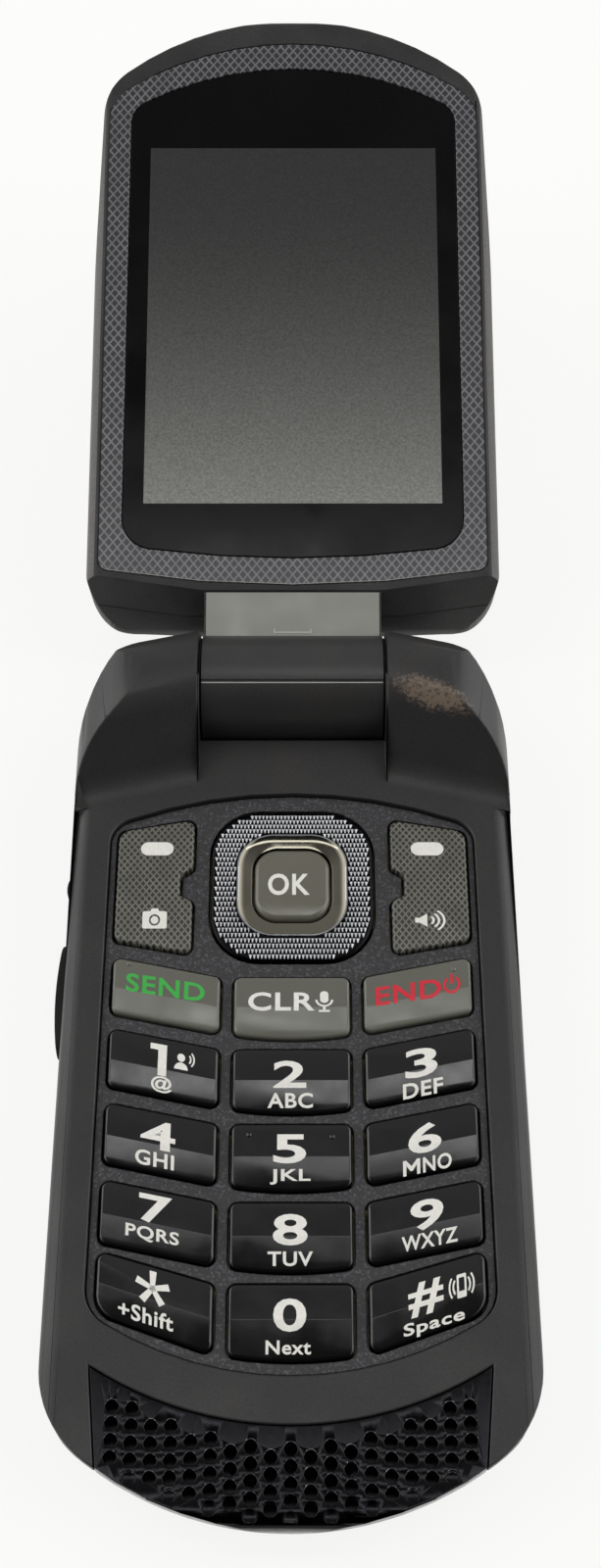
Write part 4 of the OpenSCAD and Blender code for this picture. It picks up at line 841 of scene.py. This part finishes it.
def dress(node, place, slot, edge, *finishes, flat=0.5):
    """Puts a rounded skin in place of a CAD node; faces that meet within the angle flat are joined first."""
    body = frame["nodes"][node]["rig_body"]
    piece = new_piece(node + "_skin", skin(node, place, edge, flat), place, body, [node], finishes)
    even_shading(piece)
    return piece


def even_shading(piece):
    """Lets the large faces of a skin lead its shading, so that its rounded edges don't cloud them."""
    modifier = piece.modifiers.new("even_shading", "WEIGHTED_NORMAL")
    modifier.weight = 90
    modifier.keep_sharp = True


def laid(node, place, bounds, lift, steps=10):
    """A thin plate laid on the upper face of a CAD node; its foot and top are places along y."""
    solid = cad_shape(node, place)
    tree = BVHTree.FromBMesh(solid)
    solid.free()
    left, right, foot, top = bounds
    bm = bmesh.new()
    rows = []
    for j in range(steps + 1):
        y = foot + (top - foot) * j / steps
        ends = [tree.ray_cast((x, y, ABOVE), DOWN)[0] for x in (left, right)]
        rows.append([bm.verts.new((end.x, end.y, end.z + lift)) for end in ends])
    for low, high in zip(rows, rows[1:]):
        bm.faces.new((low[0], low[1], high[1], high[0]))
    rim = bmesh.ops.extrude_edge_only(bm, edges=[e for e in bm.edges if e.is_boundary])
    for vert in rim["geom"]:
        if isinstance(vert, bmesh.types.BMVert):
            vert.co.z -= lift + 0.02
    return bm


def key_crown(column, row):
    """Top of a key of the block: two slopes that meet along its middle in a small round ridge."""
    rise = size("last_rise") if row == 4 else size("key_rise")
    middle = -size("row_top") - row * size("row_pitch") - size("key_height") / 2 + abs(column) * rise / 2
    turn = column * math.atan2(rise, size("side_key"))
    front, back = KEY_SLOPES
    ridge = size("key_ridge")

    def profile(away):
        if abs(away) < ridge:
            share = (away + ridge) ** 2 / (4 * ridge)
            return size("key_top") - front * (share - away) - back * share
        return size("key_top") - (back * away if away > 0 else -front * away)

    cuts = [ridge * k / 3 for k in range(-3, 4)]
    return Crown(column * size("side_place"), middle, turn, profile, cuts)


def ring_crown(radius):
    """Crown of a key of the navigation block, round about a line across the base."""
    top = size("key_top")

    def profile(away):
        return top - radius + math.sqrt(radius ** 2 - away ** 2)

    return Crown(0, -size("nav_middle"), 0, profile, [k * 0.75 for k in range(-12, 13)])


def fit_cap(node, bm, slot, *finishes):
    """Puts the cap of a key on its own body, in place of its CAD node."""
    new_piece(node + "_cap", bm, BASE, node + "_body", [node], finishes, smooth=32)


def press_key(node, column, row, slot, *finishes):
    """Builds one key of the block with its legends and dots."""
    crown = key_crown(column, row)
    bm = pillow(top_outline(node, CAP_FOOT), size("key_foot"), crown, size("key_rim"))
    for x, y in PIPS.get(node, []):
        dome(bm, x, y, crown.height(x, y) - 0.02, PIP_RADIUS, PIP_RISE)
    print_legends(bm, node, math.radians(column * LEGEND_SLANTS[row]), crown)
    fit_cap(node, bm, slot, *finishes)


class PHONE_OT_base_shell(bpy.types.Operator):
    """Skins the two halves of the base's housing."""

    bl_idname = "phone.base_shell"
    bl_label = "Base shell"

    def execute(self, context):
        dress("front_housing", BASE, "housing", size("shell_round"),
              worn_housing_paint("soft_touch_paint_worn"))
        paint = soft_touch_paint("soft_touch_paint", colour("housing"), colour("housing_rubbed"), 0.5)
        dress("rear_housing", BASE, "housing", size("shell_round"), paint)
        dress("battery_cover", BASE, "housing", size("shell_round"), paint)
        steel = plated_plastic("lock_steel", linear("#b4b6ba"), 0.3)
        dress("cover_lock", BASE, "steel", size("trim_round"), steel)
        return {"FINISHED"}


class PHONE_OT_keypad_panel(bpy.types.Operator):
    """Skins the grained panel around the keys."""

    bl_idname = "phone.keypad_panel"
    bl_label = "Keypad panel"

    def execute(self, context):
        dress("keypad_panel", BASE, "keypad_panel", size("trim_round"), grained_plastic("grained_abs"))
        return {"FINISHED"}


class PHONE_OT_number_keys(bpy.types.Operator):
    """Builds the twelve number keys with their legends."""

    bl_idname = "phone.number_keys"
    bl_label = "Number keys"

    def execute(self, context):
        black = gloss_plastic("gloss_black_polycarbonate", colour("number_key"), 0.18)
        for node, column, row in NUMBER_KEYS:
            press_key(node, column, row, "number_keys", black, white_ink())
        return {"FINISHED"}


class PHONE_OT_call_keys(bpy.types.Operator):
    """Builds the three grey call keys with their coloured legends."""

    bl_idname = "phone.call_keys"
    bl_label = "Call keys"

    def execute(self, context):
        grey = gloss_plastic("gloss_grey_polycarbonate", colour("call_key"), 0.2)
        green = printed_ink("green_ink", colour("call_green"))
        red = printed_ink("red_ink", colour("end_red"))
        for (node, column, row), ink in zip(CALL_KEYS, (green, white_ink(), red)):
            press_key(node, column, row, "call_keys", grey, ink)
        return {"FINISHED"}


class PHONE_OT_soft_keys(bpy.types.Operator):
    """Builds the two rocking keys beside the ring, notched to go round it."""

    bl_idname = "phone.soft_keys"
    bl_label = "Soft keys"

    def execute(self, context):
        film = lattice_film("woven_print", colour("soft_ground"), colour("soft_line"), size("weave_wide"),
                            size("weave_high"), 0.2, 0.35)
        crown = ring_crown(size("nav_crown"))
        right = rounded(SOFT_CORNERS, SOFT_RADII)
        left = [(-x, y) for x, y in reversed(right)]
        for node, outline in (("soft_key_right", right), ("soft_key_left", left)):
            bm = pillow(outline, size("key_foot"), crown, size("key_rim"))
            print_legends(bm, node, 0, crown)
            fit_cap(node, bm, "soft_keys", film, white_ink())
        return {"FINISHED"}


class PHONE_OT_navigation(bpy.types.Operator):
    """Builds the plated ring with its teeth and its dish, and the confirm key inside."""

    bl_idname = "phone.navigation"
    bl_label = "Navigation ring"

    def execute(self, context):
        self.build_ring()
        grey = gloss_plastic("satin_grey_polycarbonate", colour("ok_key"), 0.22)
        crown = ring_crown(size("ok_crown"))
        bm = pillow(round_box(0, -size("nav_middle"), *OK_BOX), size("key_foot"), crown, OK_RIM)
        print_legends(bm, "ok_key", 0, crown)
        fit_cap("ok_key", bm, "call_keys", grey, white_ink())
        return {"FINISHED"}

    def build_ring(self):
        """The ring: wall, rim, toothed band, lip, dish and the wall of the opening."""
        middle = -size("nav_middle")
        crown = ring_crown(size("nav_crown"))
        bm = bmesh.new()
        loops = []
        for half_w, half_h, radius, drop in RING_SECTION:
            ring = round_box(0, middle, half_w, half_h, radius, 12)
            if drop is None:
                loops.append([(x, y, size("key_foot")) for x, y in ring])
            else:
                loops.append([(x, y, crown.height(x, y) + drop) for x, y in ring])
        stack(bm, loops)
        teeth = self.teeth(middle, crown)
        for face in bm.faces:
            place = face.calc_center_median()
            edge = from_box(place.x, place.y - middle, *RING_INNER)
            # Dark rim and ground, silver lip, brown dish
            face.material_index = 1 if -LIP_WIDTH < edge < -0.01 else 2 if edge < -LIP_WIDTH else 0
        add_mesh(bm, teeth, 1)
        dark = plated_plastic("dark_plating", colour("ring_ground"), 0.3)
        silver = plated_plastic("silver_plating", colour("plated"), 0.3)
        dish = plated_plastic("brown_plating", colour("ring_dish"), 0.1)
        new_piece("nav_key_ring", bm, BASE, "nav_key_body", ["nav_key"], [dark, silver, dish],
                  smooth=30)

    def teeth(self, middle, crown):
        """Rows of small three-sided teeth that point towards the chin, each row shifted by half a tooth."""
        bm = bmesh.new()
        pitch = size("knurl_pitch")
        row = size("knurl_row")
        for j in range(-15, 16):
            for i in range(-21, 22):
                x = (i + 0.5 * (j % 2)) * pitch
                y = j * row
                # A tooth's middle stays a third of a pitch inside the band
                if from_box(x, y, *RING_OUTER) > -pitch / 3 or from_box(x, y, *RING_INNER) < pitch / 3:
                    continue
                base = crown.height(x, y + middle) - TOOTH_FOOT
                back = y + row * 0.42
                foot = [(x + pitch * 0.5, back), (x - pitch * 0.5, back), (x, y - row * 0.45)]
                low = [bm.verts.new((px, py + middle, base)) for px, py in foot]
                tip = bm.verts.new((x, y + row * 0.3 + middle, base + TOOTH_RISE))
                for k in range(3):
                    bm.faces.new((low[k], low[(k + 1) % 3], tip))
        return bm


class PHONE_OT_grille(bpy.types.Operator):
    """Skins the plated grille over the loudspeaker."""

    bl_idname = "phone.grille"
    bl_label = "Speaker grille"

    def execute(self, context):
        chrome = plated_plastic("smoked_chrome", colour("smoked"), 0.2)
        bright = plated_plastic("silver_plating", colour("plated"), 0.3)
        bm = skin("speaker_grille", BASE, size("trim_round"), 0.05)
        bm.normal_update()
        for face in bm.faces:
            # Narrow rims of the holes and of the plate that face the chin end get the bright plating: a
            # painted highlight
            narrow = face.calc_area() < GRILLE_RIM * max(edge.calc_length() for edge in face.edges)
            facing = face.normal.y < -0.3 and face.normal.z > 0.3
            lit = face.calc_center_median().y > GRILLE_DARK
            face.material_index = 1 if narrow and facing and lit else 0
        piece = new_piece("speaker_grille_skin", bm, BASE, "base", ["speaker_grille"],
                          [chrome, bright])
        even_shading(piece)
        return {"FINISHED"}


class PHONE_OT_side_pieces(bpy.types.Operator):
    """Skins the port covers and the volume key."""

    bl_idname = "phone.side_pieces"
    bl_label = "Side pieces"

    def execute(self, context):
        for node in ("jack_cover", "charger_cover", "volume_key"):
            dress(node, BASE, "side_rubber", size("trim_round"), elastomer())
        return {"FINISHED"}


class PHONE_OT_lid_shell(bpy.types.Operator):
    """Skins the lid's face and barrel, and adds the trim of its neck and its barrel."""

    bl_idname = "phone.lid_shell"
    bl_label = "Lid shell"

    def execute(self, context):
        rim = soft_touch_paint("lid_rim_paint", colour("lid_rim"), colour("lid_rubbed"), 0.4)
        satin = soft_touch_paint("satin_paint", colour("housing"), colour("housing_rubbed"), 0.4, 0.6)
        lid = dress("lid_frame", LID, "lid_shell", size("trim_round"), lid_paint(), rim, satin, flat=0.05)
        # Faces near the hinge axis take the satin paint; faces that face sideways take the paler paint as a
        # painted sheen
        for polygon in lid.data.polygons:
            barrel = (polygon.center - HINGE).yz.length < BARREL_REACH * MM
            polygon.material_index = 2 if barrel else 1 if abs(polygon.normal.x) > 0.45 else 0
        dress("barrel_cover", LID, "housing", size("trim_round"), satin)
        self.fit_washers()
        mark = bmesh.new()
        for bar in NECK_BARS:
            add_mesh(mark, laid("lid_frame", LID, bar, 0.14, 1), 0)
        plate = laid("lid_frame", LID, NECK_PLATE, 0.1)
        # A black strip of painted shade in the joint's gap, and a pale strip of painted highlight along its
        # edge
        gap = laid("barrel_cover", LID, SEAM_GAP, 0.02, 2)
        edge = laid("barrel_cover", LID, SEAM_HIGHLIGHT, 0.02, 2)
        plastic = gloss_plastic("satin_neck_plastic", colour("neck"), 0.4)
        shadow = gloss_plastic("seam_black", linear("#060606"), 0.5)
        trim = (("neck_plate", plate, "lid_shell", plastic), ("neck_mark", mark, "lid_shell", grey_ink()),
                ("barrel_seam", gap, "housing", shadow), ("barrel_edge", edge, "housing", grey_ink()))
        for name, bm, slot, material in trim:
            new_piece(name, bm, LID, "lid", [], [material], smooth=32)
        return {"FINISHED"}

    def fit_washers(self):
        """Rubber washers that close the gaps between the barrel and the ears."""
        for side, start in WASHERS:
            bm = bmesh.new()
            loops = []
            for along, radius in WASHER_SECTION:
                loops.append([(start + along, y, z) for y, z in arc(0, 0, radius, 0, 352.5, 47)])
            stack(bm, loops)
            bmesh.ops.remove_doubles(bm, verts=bm.verts, dist=0.001)
            bmesh.ops.recalc_face_normals(bm, faces=bm.faces)
            new_piece("hinge_washer_" + side, bm, LID, "lid", [], [elastomer()], smooth=50)


class PHONE_OT_screen(bpy.types.Operator):
    """Skins the patterned bezel and the glass with the picture behind it."""

    bl_idname = "phone.screen"
    bl_label = "Screen"

    def execute(self, context):
        film = lattice_film("bezel_film", colour("bezel_ground"), colour("bezel_line"), size("lattice_wide"),
                            size("lattice_high") * math.cos(LEAN), 0.16, 0.3)
        bezel = dress("screen_bezel", LID, "bezel", size("trim_round"), film, grey_ink())
        for polygon in bezel.data.polygons:
            # Faces of the rim along the foot that face the chin get pale grey ink: a painted highlight
            facing = polygon.normal.y < -0.5 and polygon.normal.z > 0.2
            polygon.material_index = 1 if facing and polygon.center.y < HINGE.y + 20 * MM else 0
        bm = skin("screen_glass", LID, size("trim_round"))
        half, foot, top = size("view_half"), size("view_foot"), size("view_top")
        planes = [((half, 0, 0), (1, 0, 0)), ((-half, 0, 0), (1, 0, 0)), ((0, foot, 0), (0, 1, 0)),
                  ((0, top, 0), (0, 1, 0))]
        for point, normal in planes:
            geometry = bm.verts[:] + bm.edges[:] + bm.faces[:]
            bmesh.ops.bisect_plane(bm, geom=geometry, dist=1e-5, plane_co=point, plane_no=normal)
        bm.normal_update()
        for face in bm.faces:
            place = face.calc_center_median()
            inside = abs(place.x) < half and foot < place.y < top
            face.material_index = 1 if inside and face.normal.z > 0.9 else 0
        piece = new_piece("screen_glass_skin", bm, LID, "lid", ["screen_glass"],
                          [black_glass(), display_off("display_polariser")])
        even_shading(piece)
        return {"FINISHED"}


class PHONE_OT_lid_back(bpy.types.Operator):
    """Skins the outer shell of the lid and its windows."""

    bl_idname = "phone.lid_back"
    bl_label = "Lid back"

    def execute(self, context):
        dress("lid_cover", LID, "lid_shell", size("shell_round"), lid_paint())
        for node in ("outer_window", "camera_window"):
            dress(node, LID, "dark_glass", size("trim_round"), black_glass())
        lens = gloss_plastic("frosted_lens", linear("#e6e2d0"), 0.3)
        dress("flash_window", LID, "clear_glass", size("trim_round"), lens)
        return {"FINISHED"}


class PHONE_OT_inner_pieces(bpy.types.Operator):
    """Gives the pieces inside their finishes."""

    bl_idname = "phone.inner_pieces"
    bl_label = "Inner pieces"

    def execute(self, context):
        finishes = {
            "circuit_board": moulded_finish("solder_mask", "#1f5a3c", 0.4, 0.0, 1.5),
            "stamped_steel": moulded_finish("stamped_steel", "#b9bbbf", 0.35, 1.0, 0.4),
            "gold_plate": moulded_finish("gold_plate", "#c9a45c", 0.3, 1.0, 0.4),
            "dome_film": moulded_finish("dome_film", "#c7b98a", 0.35, 0.0, 2.0),
            "amber_film": moulded_finish("amber_film", "#b5762e", 0.35, 0.0, 1.0),
            "cell_wrap": moulded_finish("cell_wrap", "#3c4048", 0.45, 0.0, 3.0),
            "silicone": moulded_finish("silicone_rubber", "#8c4a30", 0.6, 0.0, 0.5),
            "black_nylon": moulded_finish("black_nylon", "#1d1d20", 0.5, 0.0, 0.3),
        }
        for kind, nodes in INNER.items():
            for node in nodes:
                mesh = frame["nodes"][node].data
                mesh.materials.clear()
                mesh.materials.append(finishes[kind])
        return {"FINISHED"}


class PHONE_OT_stage(bpy.types.Operator):
    """Lays the floor, lights it and sets up the camera."""

    bl_idname = "phone.stage"
    bl_label = "Stage"

    def execute(self, context):
        self.lay_floor()
        self.light_room()
        self.hang_strip_lamp()
        camera = bpy.data.cameras.new("camera")
        camera.lens = LENS_LENGTH
        camera.sensor_width = 36.0
        camera.clip_start = 0.01
        eye = bpy.data.objects.new("camera", camera)
        eye.location = LENS_PLACE * MM
        eye.rotation_euler = (LENS_TILT, 0, 0)
        context.scene.collection.objects.link(eye)
        context.scene.camera = eye
        context.scene.view_settings.view_transform = "Standard"
        return {"FINISHED"}

    def lay_floor(self):
        """A pale painted board, a little cloudy, that keeps the phone's shadow."""
        bm = bmesh.new()
        bmesh.ops.create_grid(bm, x_segments=8, y_segments=8, size=2.0)
        mesh = bpy.data.meshes.new("floor")
        bm.to_mesh(mesh)
        bm.free()
        tree, shader, places = new_finish("matt_white_board", Roughness=0.9, Specular_IOR_Level=0.1)
        # Clouds of 0.4 m
        cloud = put(tree, "TexNoise", {"Vector": places, "Scale": 1 / 0.4, "Detail": 2.0})
        base = colour("floor")
        tone = put(tree, "Mix", {"Factor": cloud, "A": base, "B": darker(base, 0.98)}, data_type="RGBA")
        feed(shader, {"Base Color": tone})
        # The lens, mirrors and glass see the board as white paper with a faint shadow
        ray = put(tree, "LightPath", {}).outputs
        seen = put(tree, "Math", {0: ray["Is Camera Ray"], 1: ray["Is Glossy Ray"]}, operation="MAXIMUM")
        shown = put(tree, "Math", {0: seen, 1: ray["Is Transmission Ray"]}, operation="MAXIMUM")
        share = put(tree, "Math", {0: shown, 1: 0.86}, operation="MULTIPLY")
        white = put(tree, "Emission", {"Color": (1.0, 1.0, 0.985, 1.0), "Strength": 1.0})
        board = put(tree, "MixShader", {0: share, 1: shader, 2: white})
        feed(tree.nodes["Material Output"], {"Surface": board})
        mesh.materials.append(bpy.data.materials["matt_white_board"])
        floor = bpy.data.objects.new("floor", mesh)
        floor.location.z = -0.05 * MM
        bpy.context.scene.collection.objects.link(floor)

    def light_room(self):
        """A room that is bright to the left and right, and dim overhead and before and behind the phone."""
        world = bpy.data.worlds.new("room")
        bpy.context.scene.world = world
        world.use_nodes = True
        tree = world.node_tree
        way = put(tree, "TexCoord", {}).outputs["Generated"]
        x, y, z = put(tree, "SeparateXYZ", {"Vector": way}).outputs
        aside = put(tree, "Math", {0: x}, operation="ABSOLUTE")
        ahead = put(tree, "MapRange", {"Value": y, "From Min": 0.1, "From Max": 0.5,
                                       "To Min": 0.06, "To Max": 0.42})
        walls = put(tree, "MapRange", {"Value": aside, "From Min": 0.4, "From Max": 0.7,
                                       "To Min": ahead, "To Max": 2.2}, interpolation_type="SMOOTHSTEP")
        front = put(tree, "MapRange", {"Value": y, "From Min": -0.7, "From Max": 0.0, "To Min": 0.2},
                    interpolation_type="SMOOTHSTEP")
        level = put(tree, "Math", {0: walls, 1: front}, operation="MULTIPLY")
        # The lens sees a pale haze along the horizon, as bright as the floor
        haze = put(tree, "MapRange", {"Value": z, "From Min": 0.22, "From Max": 0.42,
                                      "To Min": 0.95, "To Max": 0.0}, interpolation_type="SMOOTHSTEP")
        ray = put(tree, "LightPath", {}).outputs["Is Camera Ray"]
        shown = put(tree, "Math", {0: haze, 1: ray}, operation="MULTIPLY")
        paler = put(tree, "Math", {0: level, 1: shown}, operation="MAXIMUM")
        feed(tree.nodes["Background"], {"Color": (1.0, 1.0, 1.0, 1.0), "Strength": paler})

    def hang_strip_lamp(self):
        """A long strip lamp overhead, across the phone, that the lower slopes of the keys mirror."""
        lamp = bpy.data.lights.new("strip_lamp", "AREA")
        lamp.shape = "RECTANGLE"
        lamp.size = LAMP_LENGTH
        lamp.size_y = LAMP_WIDTH
        # Watts for the radiance over the whole lamp
        lamp.energy = LAMP_RADIANCE * math.pi * lamp.size * lamp.size_y
        strip = bpy.data.objects.new("strip_lamp", lamp)
        strip.location = LAMP_PLACE
        bpy.context.scene.collection.objects.link(strip)


class PHONE_PT_pieces(bpy.types.Panel):
    """Lists the sizes, the colours and the pieces of the phone."""

    bl_idname = "PHONE_PT_pieces"
    bl_label = "Flip phone"
    bl_space_type = "VIEW_3D"
    bl_region_type = "UI"
    bl_category = "Phone"

    def draw(self, context):
        layout = self.layout
        for group in (context.scene.phone_sizes, context.scene.phone_colours):
            column = layout.column(align=True)
            for name in group.__annotations__:
                column.prop(group, name)
        for operator in OPERATORS:
            layout.operator(operator.bl_idname)


OPERATORS = (
    PHONE_OT_base_shell,
    PHONE_OT_keypad_panel,
    PHONE_OT_number_keys,
    PHONE_OT_call_keys,
    PHONE_OT_soft_keys,
    PHONE_OT_navigation,
    PHONE_OT_grille,
    PHONE_OT_side_pieces,
    PHONE_OT_lid_shell,
    PHONE_OT_screen,
    PHONE_OT_lid_back,
    PHONE_OT_inner_pieces,
    PHONE_OT_stage,
)
CLASSES = (PhoneSizes, PhoneColours) + OPERATORS + (PHONE_PT_pieces,)


def register():
    for cls in CLASSES:
        bpy.utils.register_class(cls)
    bpy.types.Scene.phone_sizes = PointerProperty(type=PhoneSizes)
    bpy.types.Scene.phone_colours = PointerProperty(type=PhoneColours)


def unregister():
    del bpy.types.Scene.phone_colours
    del bpy.types.Scene.phone_sizes
    for cls in reversed(CLASSES):
        bpy.utils.unregister_class(cls)


def main():
    register()
    bpy.ops.phone.base_shell()
    bpy.ops.phone.keypad_panel()
    bpy.ops.phone.number_keys()
    bpy.ops.phone.call_keys()
    bpy.ops.phone.soft_keys()
    bpy.ops.phone.navigation()
    bpy.ops.phone.grille()
    bpy.ops.phone.side_pieces()
    bpy.ops.phone.lid_shell()
    bpy.ops.phone.screen()
    bpy.ops.phone.lid_back()
    bpy.ops.phone.inner_pieces()
    bpy.ops.phone.stage()


if __name__ == "__main__":
    main()
